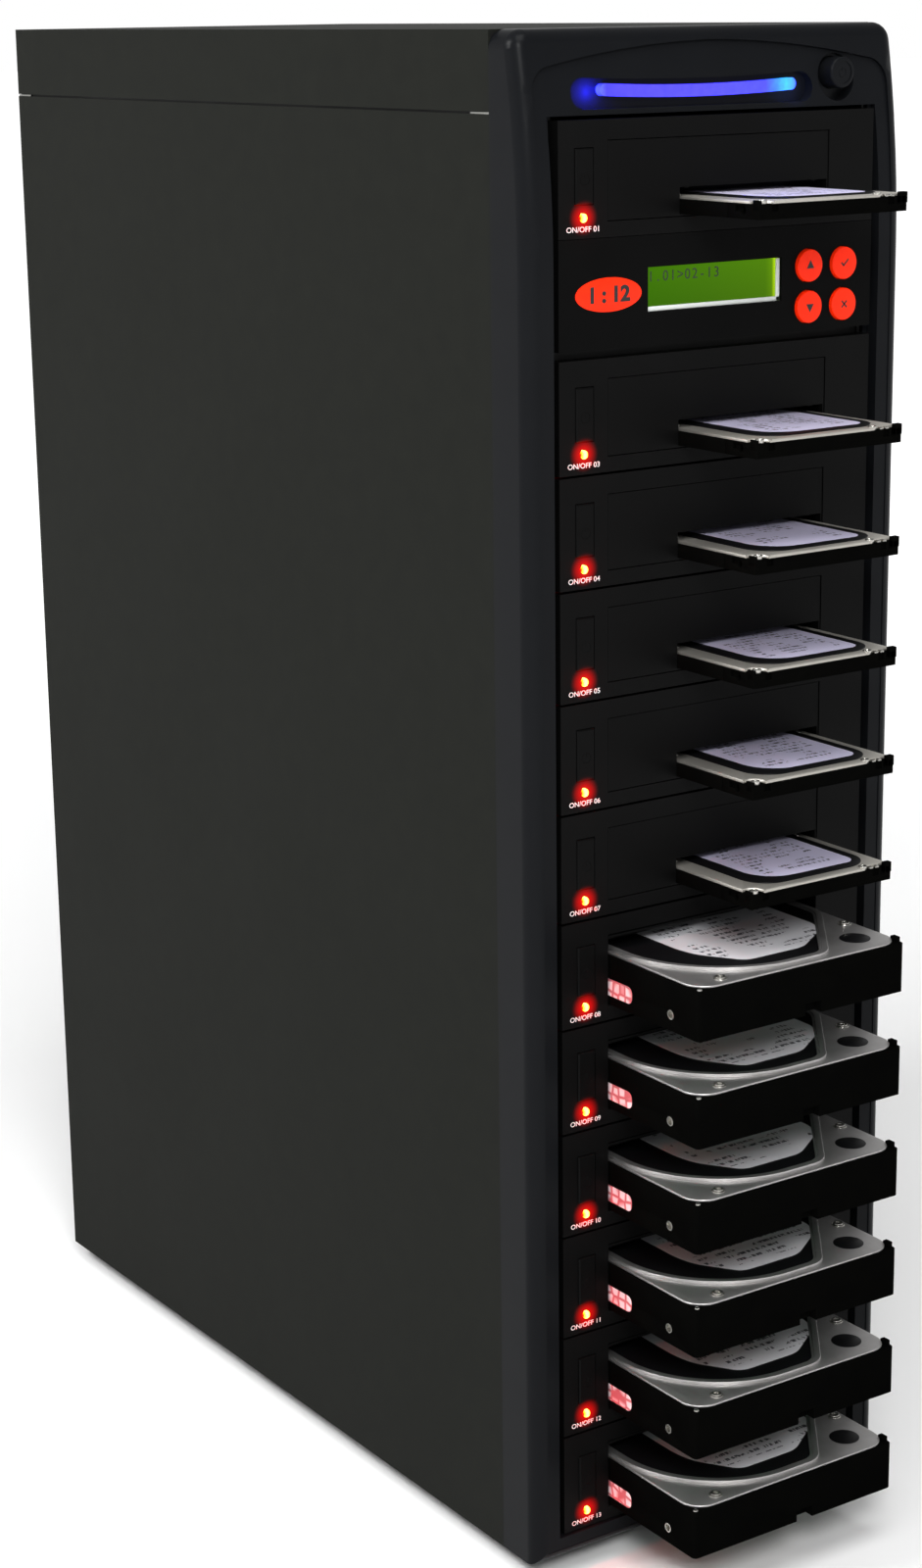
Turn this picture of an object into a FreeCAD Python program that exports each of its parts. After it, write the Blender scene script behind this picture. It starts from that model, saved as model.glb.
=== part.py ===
import FreeCAD, Part
import math
import os
import re
import Sketcher

# Thirteen-bay hard drive duplicator tower, in millimetres.  +Z is up, the front looks along -Y, the
# floor is z = 0 and the origin is the middle of the footprint.  Every piece is one body of this
# document; its sizes are expressions of the sheet called "sizes".

SIZES = {
    # where the rows of bays stand
    "face_y": -172.5,
    "bay_floor": 18,
    "bay_pitch": 42.5,
    # sheet-metal case
    "case_half": 89,
    "skin": 1,
    "case_low": 8,
    "case_top": 601.2,
    "seam_y": -151.5,
    "rear_y": 225.5,
    "cover_seam": 571.8,
    "seam_gap": 0.9,
    "hem": 11,
    # chassis
    "column_half": 73,
    "column_sheet": 1.2,
    "column_deep": 190,
    "rail_drop": 24,
    "shelf_z": 493,
    "bar_drop": 3.6,
    # power supply and fan
    "psu_half": 75,
    "psu_high": 86,
    "psu_deep": 140,
    "psu_lip": 4,
    "psu_sheet": 1.2,
    "psu_fan": 38,
    "inlet_x": -52,
    "inlet_z": 27,
    "inlet_half": 12.2,
    "inlet_high": 8.3,
    "inlet_deep": 17,
    "fan_half": 60,
    "fan_low": 190,
    "fan_deep": 25,
    "fan_bore": 57.5,
    "hub_round": 20,
    "shaft_round": 2,
    "shaft_gap": 0.05,
    "grille_slot": 7,
    "grille_pitch": 11,
    "grille_rib": 4,
    # moulded front bezel
    "bezel_front": 1.5,
    "edge_round": 6,
    "opening_half": 77,
    "opening_low": 17.5,
    "opening_top": 571,
    "ledge": 2,
    "ledge_y": 1.5,
    "lean_from": 518,
    "lean": 8.2,
    "scoop_side": 0.4,
    "scoop_top": 1.4,
    "brow_top": 596.4,
    "brow_end": 588.6,
    "brow_half": 74,
    "brow_round": 10,
    "inner_half": 83,
    "corner_round": 7,
    "shell": 3,
    # light bar and its recess
    "recess_left": -60,
    "recess_right": 41.2,
    "recess_z": 578.5,
    "recess_round": 5.5,
    "recess_y": 8,
    "bar_left": -51.5,
    "bar_right": 39.5,
    "bar_z": 579.6,
    "bar_half": 2.2,
    "bar_sag": 1.2,
    "bar_y": 5,
    # power button
    "power_x": 58.9,
    "power_z": 583.2,
    "power_round": 5.8,
    "power_dish": 8.8,
    "power_dish_z": 581.6,
    "power_front": 0.6,
    "power_floor": 8,
    # one rack
    "rack_half": 74,
    "rack_high": 41.6,
    "rack_thick": 6,
    "cage_half": 73,
    "cage_low": 4.1,
    "cage_top": 37,
    "cage_wall": 1,
    "cage_floor": 5.6,
    "cage_roof": 36,
    "cage_deep": 175,
    "mouth_half": 52.1,
    "mouth_low": 5.6,
    "mouth_high": 34.4,
    # rack push button and status light
    "push_x": -62.6,
    "push_half": 4,
    "push_low": 12,
    "push_high": 31.7,
    "push_out": 0.6,
    "push_gap": 0.3,
    "lamp_x": -63,
    "lamp_z": 7.6,
    "lamp_round": 1.6,
    # closed door of a 2.5 inch bay, with its slot
    "door_half": 51.8,
    "door_low": 5.9,
    "door_high": 34.1,
    "door_thick": 2.4,
    "slot_left": -19,
    "slot_right": 51.3,
    "slot_low": 6.5,
    "slot_high": 16.3,
    "flap_axis_y": 4.6,
    "flap_axis_z": 17.2,
    "flap_pin": 0.7,
    "flap_barrel": 1.2,
    "flap_long": 9.4,
    "flap_thick": 1,
    "flap_tilt": -13,
    "ear_left": -15,
    "ear_right": 46,
    "ear_wide": 2,
    # door of a 3.5 inch bay, folded in over the drive
    "fold_half": 51.6,
    "fold_thick": 2,
    "fold_long": 27,
    "fold_axis_y": 2.6,
    "fold_axis_z": 32.8,
    "fold_pin": 1,
    "fold_tilt": -8,
    "pin_gap": 0.05,
    "pin_deep": 2,
    # 2.5 inch drive
    "small_left": -18.6,
    "small_wide": 69.85,
    "small_long": 100,
    "small_high": 7,
    "small_out": 45,
    "small_low": 6.6,
    # 3.5 inch drive
    "large_half": 50.8,
    "large_long": 147,
    "large_high": 22,
    "large_out": 54,
    "large_low": 5.8,
    "cap_nose": 3.7,
    "cap_round": 47,
    "cap_corner": 14.5,
    # sockets in the racks and recesses in the drives
    "board_thick": 1.6,
    "plug_high": 4,
    "small_plug_left": -13,
    "small_plug_right": 20,
    "large_plug_left": -4,
    "large_plug_right": 38,
    # control panel in bay 2
    "panel_low": 488,
    "panel_high": 527.8,
    "panel_thick": 4,
    "window_left": -33.7,
    "window_right": 29.7,
    "window_low": 500.1,
    "window_high": 516.2,
    "key_left": 42.7,
    "key_right": 59.8,
    "key_low": 497,
    "key_high": 512.5,
    "key_round": 6.1,
    "key_out": 1.4,
    "key_gap": 0.3,
    # feet
    "foot_round": 15,
    "foot_x": 62,
    "foot_inset": 34,
}

BAYS = range(1, 14)
PANEL_BAY = 2
SMALL_BAYS = [1, 3, 4, 5, 6, 7]
LARGE_BAYS = [8, 9, 10, 11, 12, 13]
RACK_BAYS = sorted(SMALL_BAYS + LARGE_BAYS)

doc = FreeCAD.newDocument("drive_duplicator")
sheet = doc.addObject("Spreadsheet::Sheet", "sizes")
for row, (alias, size) in enumerate(SIZES.items(), 1):
    sheet.set(f"A{row}", alias)
    sheet.set(f"B{row}", str(size))
    sheet.setAlias(f"B{row}", alias)
doc.recompute()

# name of each piece -> the body or boolean that is that piece
pieces = {}


# ---------------------------------------------------------------- drawing helpers

def bind(text):
    """The expression with each alias written as a cell of the sheet."""
    return re.sub(r"[a-z][a-z0-9_]*",
                  lambda word: "sizes." + word.group() if word.group() in SIZES else word.group(),
                  str(text))


def number(text):
    """What an expression of the sheet comes to, in millimetres."""
    return float(sheet.evalExpression(bind(text)))


def rect(x1, y1, x2, y2):
    """A rectangle between two opposite corners."""
    return [(x1, y1), (x2, y1), (x2, y2), (x1, y2)]


def disc(x, y, radius):
    """A full circle."""
    return ("disc", x, y, radius)


def polygon(x, y, radius, sides):
    """A small hole or pin drawn with flats, one of them level; the radius is to a corner."""
    turns = [math.pi * (2 * corner + 1) / sides - math.pi / 2 for corner in range(sides)]
    return [(f"{x} + ({radius}) * {math.cos(turn):.6f}", f"{y} + ({radius}) * {math.sin(turn):.6f}")
            for turn in turns]


def block(x, y, half):
    """A square about its middle."""
    return rect(f"{x} - ({half})", f"{y} - ({half})", f"{x} + ({half})", f"{y} + ({half})")


def through(x, y):
    """Put between two corners of a loop: they are joined by an arc that passes here."""
    return ("through", x, y)


def origin_feature(body, role):
    """A plane or an axis of the body's own origin."""
    return next(feature for feature in body.Origin.OriginFeatures if feature.Role == role)


def place(sketch, geometry, point, x, y):
    """Hold one point of a sketch's geometry at two expressions."""
    for kind, text in (("DistanceX", x), ("DistanceY", y)):
        index = sketch.addConstraint(Sketcher.Constraint(kind, -1, 1, geometry, point, number(text)))
        sketch.setExpression(f"Constraints[{index}]", bind(text))


def draw_disc(sketch, x, y, radius):
    centre = FreeCAD.Vector(number(x), number(y), 0)
    circle = sketch.addGeometry(Part.Circle(centre, FreeCAD.Vector(0, 0, 1), number(radius)), False)
    index = sketch.addConstraint(Sketcher.Constraint("Radius", circle, number(radius)))
    sketch.setExpression(f"Constraints[{index}]", bind(radius))
    place(sketch, circle, 3, x, y)


def flat_arc(start, middle, end):
    """The arc through three points, anticlockwise, and whether it begins at the first of them."""
    centre = Part.Circle(start, middle, end).Center
    forward = (middle - start).cross(end - middle).z > 0
    first, last = (start, end) if forward else (end, start)
    angles = [math.atan2(point.y - centre.y, point.x - centre.x) for point in (first, last)]
    if angles[1] < angles[0]:
        angles[1] += 2 * math.pi
    circle = Part.Circle(centre, FreeCAD.Vector(0, 0, 1), (start - centre).Length)
    return Part.ArcOfCircle(circle, *angles), forward


def draw_loop(sketch, loop):
    """A closed loop of corners joined by lines, or by arcs where a through point stands between them."""
    corners = [item for item in loop if item[0] != "through"]
    arcs = {}
    for item in loop:
        if item[0] == "through":
            arcs[latest] = item[1:]
        else:
            latest = corners.index(item)
    points = [FreeCAD.Vector(number(x), number(y), 0) for x, y in corners]
    edges = []
    for i, start in enumerate(points):
        end = points[(i + 1) % len(points)]
        if i in arcs:
            middle = FreeCAD.Vector(number(arcs[i][0]), number(arcs[i][1]), 0)
            curve, forward = flat_arc(start, middle, end)
            edge = sketch.addGeometry(curve, False)
            edges.append((edge, 1, 2) if forward else (edge, 2, 1))
            mark = sketch.addGeometry(Part.Point(middle), True)
            sketch.addConstraint(Sketcher.Constraint("PointOnObject", mark, 1, edge))
            place(sketch, mark, 1, *arcs[i])
        else:
            edge = sketch.addGeometry(Part.LineSegment(start, end), False)
            edges.append((edge, 1, 2))
    for i, (edge, first, last) in enumerate(edges):
        following = edges[(i + 1) % len(edges)]
        sketch.addConstraint(Sketcher.Constraint("Coincident", edge, last, following[0], following[1]))
        place(sketch, edge, first, *corners[i])


def draw(body, role, offset, loops):
    """A sketch on a plane of the body's own origin, moved along the plane's normal."""
    sketch = body.newObject("Sketcher::SketchObject", "outline")
    sketch.AttachmentSupport = [(origin_feature(body, role), "")]
    sketch.MapMode = "FlatFace"
    sketch.setExpression("AttachmentOffset.Base.z", bind(offset))
    for loop in loops:
        if loop[0] == "disc":
            draw_disc(sketch, *loop[1:])
        else:
            draw_loop(sketch, loop)
    return sketch


# sketch plane, where its sketch stands for a pad, and where it stands for a pocket
PLANES = {
    "x": ("YZ_Plane", "{low}", "{high}"),
    "y": ("XZ_Plane", "-({high})", "-({low})"),
    "z": ("XY_Plane", "{low}", "{high}"),
}


def pad(body, axis, low, high, *loops):
    """Solid between two places along an axis, with these outlines."""
    role, stand, _ = PLANES[axis]
    feature = body.newObject("PartDesign::Pad", "pad")
    feature.Profile = draw(body, role, stand.format(low=low, high=high), loops)
    feature.setExpression("Length", bind(f"({high}) - ({low})"))
    return feature


def pocket(body, axis, low, high, *loops):
    """Cut between two places along an axis, with these outlines."""
    role, _, stand = PLANES[axis]
    feature = body.newObject("PartDesign::Pocket", "pocket")
    feature.Profile = draw(body, role, stand.format(low=low, high=high), loops)
    feature.setExpression("Length", bind(f"({high}) - ({low})"))
    return feature


def repeat_up(body, features, count, span):
    """The same features again, evenly up a column."""
    pattern = body.newObject("PartDesign::LinearPattern", "column")
    pattern.Originals = features
    pattern.Direction = (origin_feature(body, "Z_Axis"), [""])
    pattern.setExpression("Length", bind(span))
    pattern.Occurrences = count
    body.Tip = pattern
    return pattern


def over_racks(body, features, bays):
    """Features drawn for the lowest of these bays, repeated for the rest; bay 1 stands past the panel."""
    lowest = max(bays)
    run = [bay for bay in bays if bay > PANEL_BAY]
    repeat_up(body, features, len(run), f"bay_pitch * {len(run) - 1}")
    if 1 in bays:
        repeat_up(body, features, 2, f"bay_pitch * {lowest - 1}")


def edges_of(shape, test):
    """Names of the edges whose middle and ends all pass the test."""
    names = []
    for i, edge in enumerate(shape.Edges, 1):
        middle = edge.valueAt((edge.FirstParameter + edge.LastParameter) / 2)
        if all(test(point) for point in [middle] + [vertex.Point for vertex in edge.Vertexes]):
            names.append(f"Edge{i}")
    return names


def soften(body, base, radius, test):
    """Fillet on the edges of the last feature that pass the test."""
    doc.recompute()
    feature = body.newObject("PartDesign::Fillet", "round")
    feature.Base = (base, edges_of(base.Shape, test))
    feature.setExpression("Radius", bind(radius))
    return feature


def bevel(body, base, size, test):
    """Chamfer on the edges of the last feature that pass the test."""
    doc.recompute()
    feature = body.newObject("PartDesign::Chamfer", "bevel")
    feature.Base = (base, edges_of(base.Shape, test))
    feature.setExpression("Size", bind(size))
    return feature


def piece(name):
    """A new body, whose label is the piece's name."""
    body = doc.addObject("PartDesign::Body", name)
    body.Label = name
    pieces[name] = body
    return body


def bay_base(bay):
    """Height of a bay's floor, as an expression."""
    return f"bay_floor + bay_pitch * {max(BAYS) - bay}"


def near(value, text, slack=0.05):
    return abs(value - number(text)) < slack


# ---------------------------------------------------------------- sheet-metal case

def chassis():
    """Floor, rear wall, two columns that carry the racks, front flange and side rails, welded into one."""
    body = piece("chassis")
    inner = "case_half - skin"
    pad(body, "z", "case_low", "case_low + skin",
        rect(f"-({inner})", "seam_y", inner, "rear_y"))
    pad(body, "y", "rear_y - skin", "rear_y",
        rect(f"-({inner})", "case_low", inner, "case_top - skin"))
    for side in ("-1", "1"):
        column = [f"{side} * column_half", f"{side} * (column_half + column_sheet)"]
        pad(body, "x", *sorted(column, key=number),
            rect("seam_y", "case_low", "face_y + column_deep", "bay_floor + bay_pitch * 13 + 4"))
        pad(body, "x", *sorted(column, key=number),
            rect("face_y + rack_thick", "opening_low", "seam_y", "opening_top"))
        pad(body, "y", "seam_y", "seam_y + column_sheet",
            rect(f"{side} * column_half", "case_low", f"{side} * ({inner})", "case_top - skin"))
        rail = [f"{side} * ({inner} - column_sheet)", f"{side} * ({inner})"]
        pad(body, "x", *sorted(rail, key=number),
            rect("seam_y", "cover_seam - rail_drop / 2", "rear_y", "cover_seam + rail_drop / 2"))
        pad(body, "x", *sorted(rail, key=number),
            rect("seam_y", "case_low", "rear_y", "case_low + rail_drop / 2"))
    # shelf across the top of the columns, and the bar under the control panel
    top = "bay_floor + bay_pitch * 13 + 4"
    pad(body, "z", f"{top} - column_sheet", top,
        rect("-column_half", "seam_y", "column_half", "face_y + column_deep"))
    pad(body, "y", "face_y + rack_thick + 1", "face_y + rack_thick + 1 + column_sheet",
        rect("-column_half", "panel_low - bar_drop", "column_half", "panel_low + 3"))
    # shelf for the controller
    pad(body, "z", "shelf_z - column_sheet", "shelf_z",
        rect("-column_half", "face_y + 30", "column_half", "face_y + column_deep"))
    # openings in the rear wall: power supply and fan
    back = ("rear_y - skin - 1", "rear_y + 1")
    pocket(body, "y", *back,
           rect("psu_lip - psu_half", "case_low + skin + psu_lip",
                "psu_half - psu_lip", "case_low + skin + psu_high - psu_lip"))
    # horizontal slots in front of the fan, as long as its round there, with a rib up the middle
    for row in range(-4, 5):
        middle = f"fan_low + fan_half + grille_pitch * {row}"
        reach = f"sqrt((fan_bore - 4) * (fan_bore - 4) - (grille_pitch * {row}) * (grille_pitch * {row}))"
        pocket(body, "y", *back, *[
            rect(f"{side} * grille_rib / 2", f"{middle} - grille_slot / 2",
                 f"{side} * {reach}", f"{middle} + grille_slot / 2")
            for side in ("-1", "1")])


def top_cover():
    """Channel of sheet over the top, with side flanges and a hem that folds over the rear wall."""
    body = piece("top_cover")
    side = "cover_seam + seam_gap"
    pad(body, "y", "seam_y", "rear_y + skin",
        [("-case_half", side), ("-(case_half - skin)", side), ("-(case_half - skin)", "case_top - skin"),
         ("case_half - skin", "case_top - skin"), ("case_half - skin", side), ("case_half", side),
         ("case_half", "case_top"), ("-case_half", "case_top")])
    pad(body, "y", "rear_y", "rear_y + skin",
        rect("-case_half", "case_top - hem", "case_half", "case_top"))


def side_panel(name, sign):
    """Flat side with its rear edge folded over the rear wall."""
    body = piece(name)
    sheet_x = sorted([f"{sign} * (case_half - skin)", f"{sign} * case_half"], key=number)
    pad(body, "x", *sheet_x, rect("seam_y", "case_low", "rear_y + skin", "cover_seam"))
    pad(body, "y", "rear_y", "rear_y + skin",
        rect(f"{sign} * (case_half - hem)", "case_low", f"{sign} * case_half", "cover_seam"))


def feet():
    """Four rubber feet under the floor."""
    body = piece("feet")
    corners = [(x, y) for x in ("-foot_x", "foot_x") for y in ("seam_y + foot_inset", "rear_y - foot_inset")]
    pad(body, "z", "0", "case_low", *[polygon(x, y, "foot_round", 16) for x, y in corners])


# ---------------------------------------------------------------- moulded front bezel

def front_bezel():
    """Moulded frame that leans back at the top, round along its outer edge, scooped under an arched brow."""
    body = piece("front_bezel")
    front = "face_y - bezel_front"
    block = pad(body, "y", front, "seam_y", rect("-case_half", "case_low", "case_half", "case_top"))
    corners = soften(body, block, "corner_round",
                     lambda p: near(abs(p.x), "case_half") and near(p.z, "case_top"))
    leaning = pocket(body, "x", "-case_half - 1", "case_half + 1",
                     lean_outline(front, "lean", f"{front} - 9"))

    def on_front_rim(p):
        at_side = near(abs(p.x), "case_half")
        at_end = near(p.z, "case_low") or p.z > number("case_top - corner_round")
        return (at_side or at_end) and p.y < number("seam_y") - 3

    soften(body, leaning, "edge_round", on_front_rim)
    # scoop under the brow: a prism with the brow's arch, kept only in front of a face that leans back more
    scoop = doc.addObject("PartDesign::Body", "brow_scoop")
    pad(scoop, "y", f"{front} - 1", "face_y + recess_y + 4", brow_outline())
    pocket(scoop, "x", "-case_half", "case_half",
           lean_outline(f"{front} + scoop_side", "lean + scoop_top", "face_y + recess_y + 5"))
    cut = body.newObject("PartDesign::Boolean", "scooped")
    cut.Type = "Cut"
    cut.setObjects([scoop])
    # the racks' opening, with a ledge a little way in on each side
    pocket(body, "y", f"{front} - 1", "seam_y + 1",
           rect("ledge - opening_half", "opening_low", "opening_half - ledge", "opening_top"))
    pocket(body, "y", f"{front} - 1", "face_y + ledge_y + lean * 0.4",
           rect("-opening_half", "opening_low", "opening_half", "opening_top"))
    # recess of the light bar, dish and hole of the power button
    low, top = "recess_z - recess_round", "recess_z + recess_round"
    pocket(body, "y", f"{front} - 1", "face_y + recess_y",
           [("recess_left", low), ("recess_right", low), through("recess_right + recess_round", "recess_z"),
            ("recess_right", top), through("(recess_left + recess_right) / 2", f"{top} - bar_sag"),
            ("recess_left", top), through("recess_left - recess_round", "recess_z")])
    pocket(body, "y", f"{front} - 1", "face_y + power_floor",
           disc("power_x - 0.4", "power_dish_z", "power_dish"))
    pocket(body, "y", f"{front} - 1", "seam_y + 1", disc("power_x", "power_z", "power_round + 0.3"))
    # hollow behind: the brow and the two sides
    pocket(body, "y", "face_y + power_floor + shell", "seam_y + 1",
           rect("shell - case_half", "opening_top + ledge", "case_half - shell", "case_top - shell - 3"))
    for side in (-1, 1):
        pocket(body, "y", "face_y + shell * 2", "seam_y + 1",
               rect(f"{side} * (opening_half + 1)", "case_low + shell",
                    f"{side} * (case_half - shell)", "opening_top - 6"))


def lean_outline(face, depth, beyond):
    """From a plane to a face that is upright below and curves back towards the top."""
    halfway = "(lean_from + case_top) / 2"
    return [(face, "lean_from"), through(f"{face} + ({depth}) / 4", halfway),
            (f"{face} + {depth}", "case_top"),
            (f"{face} + {depth}", "case_top + 1"), (beyond, "case_top + 1"), (beyond, "case_low - 1"),
            (face, "case_low - 1")]


def brow_outline():
    """Upright sides that turn through round shoulders into two shallow arcs, which meet at the middle."""
    shoulder = "brow_end - brow_round * 0.62"
    return [("-inner_half", "opening_low - 5"), ("inner_half", "opening_low - 5"),
            ("inner_half", f"{shoulder} - 4"),
            through("inner_half - 3", f"{shoulder} + 3.6"), ("brow_half", "brow_end"),
            through("brow_half / 2", "brow_end + (brow_top - brow_end) * 0.72"), ("0", "brow_top"),
            through("-brow_half / 2", "brow_end + (brow_top - brow_end) * 0.72"), ("-brow_half", "brow_end"),
            through("3 - inner_half", f"{shoulder} + 3.6"), ("-inner_half", f"{shoulder} - 4")]


def light_bar():
    """Curved light pipe, lower in the middle than at its ends."""
    body = piece("light_bar")
    middle = "(bar_left + bar_right) / 2"
    top, low = "bar_z + bar_half", "bar_z - bar_half"
    pad(body, "y", "face_y + bar_y", "face_y + recess_y",
        [("bar_left + bar_half", low), through(middle, f"{low} - bar_sag"), ("bar_right - bar_half", low),
         through("bar_right", "bar_z"), ("bar_right - bar_half", top),
         through(middle, f"{top} - bar_sag"), ("bar_left + bar_half", top), through("bar_left", "bar_z")])


def power_button():
    """Round button with a collar that keeps it behind the bezel."""
    body = piece("power_button")
    collar = "face_y + power_floor + shell + 0.3"
    pad(body, "y", "face_y + power_front", collar, disc("power_x", "power_z", "power_round"))
    pad(body, "y", collar, f"{collar} + 1", block("power_x", "power_z", "power_round + 1"))


def power_switch():
    """Switch on a bracket that reaches from the chassis flange behind the power button."""
    body = piece("power_switch")
    pad(body, "y", "seam_y - 1.6", "seam_y",
        rect("power_x - 9", "power_z - 7", "case_half - skin - 8", "power_z + 7"))
    pad(body, "y", "seam_y - 6", "seam_y - 1.6",
        rect("power_x - 5", "power_z - 5", "power_x + 5", "power_z + 5"))


# ---------------------------------------------------------------- racks

def rack_bezels():
    """Front plates of the twelve racks: mouth, button hole, light hole and the door's pivot holes."""
    body = piece("rack_bezels")
    plate = pad(body, "y", "face_y", "face_y + rack_thick",
                rect("-rack_half", "bay_floor", "rack_half", "bay_floor + rack_high"),
                rect("-mouth_half", "bay_floor + mouth_low", "mouth_half", "bay_floor + mouth_high"),
                rect("push_x - push_half - push_gap", "bay_floor + push_low - push_gap",
                     "push_x + push_half + push_gap", "bay_floor + push_high + push_gap"),
                polygon("lamp_x", "bay_floor + lamp_z", "lamp_round + 0.25", 6))
    pivots = pocket(body, "x", "-(mouth_half + pin_deep)", "mouth_half + pin_deep",
                    block("face_y + fold_axis_y", "bay_floor + fold_axis_z", "fold_pin + pin_gap"))
    over_racks(body, [plate, pivots], RACK_BAYS)


def rack_cages():
    """Channels behind the bezels: a bay for the drive between two ducts, closed above and below."""
    body = piece("rack_cages")
    duct = ["cage_half - cage_wall", "mouth_half + cage_wall + 0.2"]
    low = "bay_floor + cage_low"
    top = "bay_floor + cage_top"
    windows = [rect(f"-({duct[0]})", f"{low} + cage_wall", f"-({duct[1]})", f"{top} - cage_wall"),
               rect(duct[1], f"{low} + cage_wall", duct[0], f"{top} - cage_wall"),
               rect("-(mouth_half + 0.2)", "bay_floor + cage_floor",
                    "mouth_half + 0.2", "bay_floor + cage_roof")]
    channel = pad(body, "y", "face_y + rack_thick", "face_y + cage_deep",
                  rect("-cage_half", low, "cage_half", top), *windows)
    over_racks(body, [channel], RACK_BAYS)


def rack_boards():
    """Boards in the racks: one with the drive's socket across each bay, a small one behind each button."""
    body = piece("rack_boards")
    sockets = ((LARGE_BAYS, "face_y - large_out + large_long",
                ("large_plug_left", "large_plug_right"), "large_low + 3.5"),
               (SMALL_BAYS, "face_y - small_out + small_long",
                ("small_plug_left", "small_plug_right"), "small_low + 1.4"))
    for bays, drive_end, sides, socket_z in sockets:
        base = bay_base(max(bays))
        board = pad(body, "y", f"{drive_end} + 5", f"{drive_end} + 5 + board_thick",
                    rect("-(mouth_half + 0.2)", f"{base} + cage_floor",
                         "mouth_half + 0.2", f"{base} + cage_roof"))
        socket = pad(body, "y", f"{drive_end} - 3", f"{drive_end} + 5",
                     rect(sides[0], f"{base} + {socket_z}", sides[1], f"{base} + {socket_z} + plug_high"))
        over_racks(body, [board, socket], bays)
    duct = ["-(cage_half - cage_wall)", "-(mouth_half + cage_wall + 0.2)"]
    middle = "bay_floor + (push_low + push_high) / 2"
    behind = "face_y + rack_thick + 6"
    board = pad(body, "y", behind, f"{behind} + board_thick",
                rect(duct[0], "bay_floor + push_low", duct[1], "bay_floor + push_high"))
    switch = pad(body, "y", f"{behind} - 3", behind,
                 rect("push_x - 3", f"{middle} - 3", "push_x + 3", f"{middle} + 3"))
    over_racks(body, [board, switch], RACK_BAYS)


def status_lenses():
    """Light pipes of the racks, each held by a collar behind the bezel."""
    body = piece("status_lenses")
    pipe = pad(body, "y", "face_y - 0.3", "face_y + rack_thick",
               polygon("lamp_x", "bay_floor + lamp_z", "lamp_round", 6))
    collar = pad(body, "y", "face_y + rack_thick", "face_y + rack_thick + 1.5",
                 block("lamp_x", "bay_floor + lamp_z", "lamp_round + 0.8"))
    over_racks(body, [pipe, collar], RACK_BAYS)


def rack_doors():
    """Closed doors of the 2.5 inch bays: a slot low on the right, ears behind it, pivots at the top."""
    body = piece("rack_doors")
    base = bay_base(max(SMALL_BAYS))
    front = "face_y + 0.3"
    back = f"{front} + door_thick"
    features = [pad(body, "y", front, back,
                    rect("-door_half", f"{base} + door_low", "door_half", f"{base} + door_high"),
                    rect("slot_left", f"{base} + slot_low", "slot_right", f"{base} + slot_high"))]
    for left in ("ear_left", "ear_right"):
        features.append(pad(body, "x", left, f"{left} + ear_wide",
                            rect(back, f"{base} + flap_axis_z - 1.6", "face_y + flap_axis_y + 1.8",
                                 f"{base} + flap_axis_z + 4"),
                            block("face_y + flap_axis_y", f"{base} + flap_axis_z", "flap_pin + pin_gap")))
    pivot = block("face_y + fold_axis_y", f"{base} + fold_axis_z", "fold_pin + pin_gap")
    end = "mouth_half + pin_deep - 0.1"
    features.append(pad(body, "x", f"-({end})", "1 - door_half", pivot))
    features.append(pad(body, "x", "door_half - 1", end, pivot))
    over_racks(body, features, SMALL_BAYS)


def slot_flap(bay):
    """Flap of a 2.5 inch slot, pushed in and resting over the drive; drawn about its own pin."""
    body = piece(f"slot_flap_{bay:02d}")
    left, right = "slot_left + 0.4", "slot_right - 0.4"
    pad(body, "x", left, right, [("flap_barrel", "-flap_barrel"), ("flap_long", "-flap_barrel"),
                                 ("flap_long", "flap_thick - flap_barrel"),
                                 ("flap_barrel", "flap_barrel / 2"), ("0", "flap_barrel"),
                                 ("-flap_barrel", "0"), ("-flap_barrel / 2", "-flap_barrel")])
    for ear in ("ear_left", "ear_right"):
        pocket(body, "x", f"{ear} - 0.2", f"{ear} + ear_wide + 0.2", rect("-2", "-2", "3", "5"))
    pad(body, "x", left, right, polygon("0", "0", "flap_pin", 6))
    hang(body, bay, "flap_axis_y", "flap_axis_z", "flap_tilt")


def folding_door(bay):
    """Door of a 3.5 inch bay, pushed in and lying over the drive; drawn about its own pivots."""
    body = piece(f"folding_door_{bay:02d}")
    plate = pad(body, "x", "-fold_half", "fold_half",
                rect("-1.6", "-fold_thick / 2", "fold_long", "fold_thick / 2"))
    bevel(body, plate, "0.6", lambda p: near(p.y, "-1.6", 0.01))
    pin_end = "mouth_half + pin_deep - 0.1"
    pad(body, "x", f"-({pin_end})", pin_end, polygon("0", "0", "fold_pin", 6))
    hang(body, bay, "fold_axis_y", "fold_axis_z", "fold_tilt")


def hang(body, bay, axis_y, axis_z, tilt):
    """Place a piece drawn about its hinge at that hinge in its bay, turned by its tilt."""
    turned = FreeCAD.Rotation(FreeCAD.Vector(1, 0, 0), number(tilt))
    body.Placement = FreeCAD.Placement(FreeCAD.Vector(), turned)
    body.setExpression("Placement.Base.y", bind(f"face_y + {axis_y}"))
    body.setExpression("Placement.Base.z", bind(f"{bay_base(bay)} + {axis_z}"))
    body.setExpression("Placement.Rotation.Angle", bind(tilt))


def lift(body, bay):
    """Place a piece drawn in the lowest bay in its own bay."""
    body.setExpression("Placement.Base.z", bind(f"bay_pitch * {max(BAYS) - bay}"))


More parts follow.
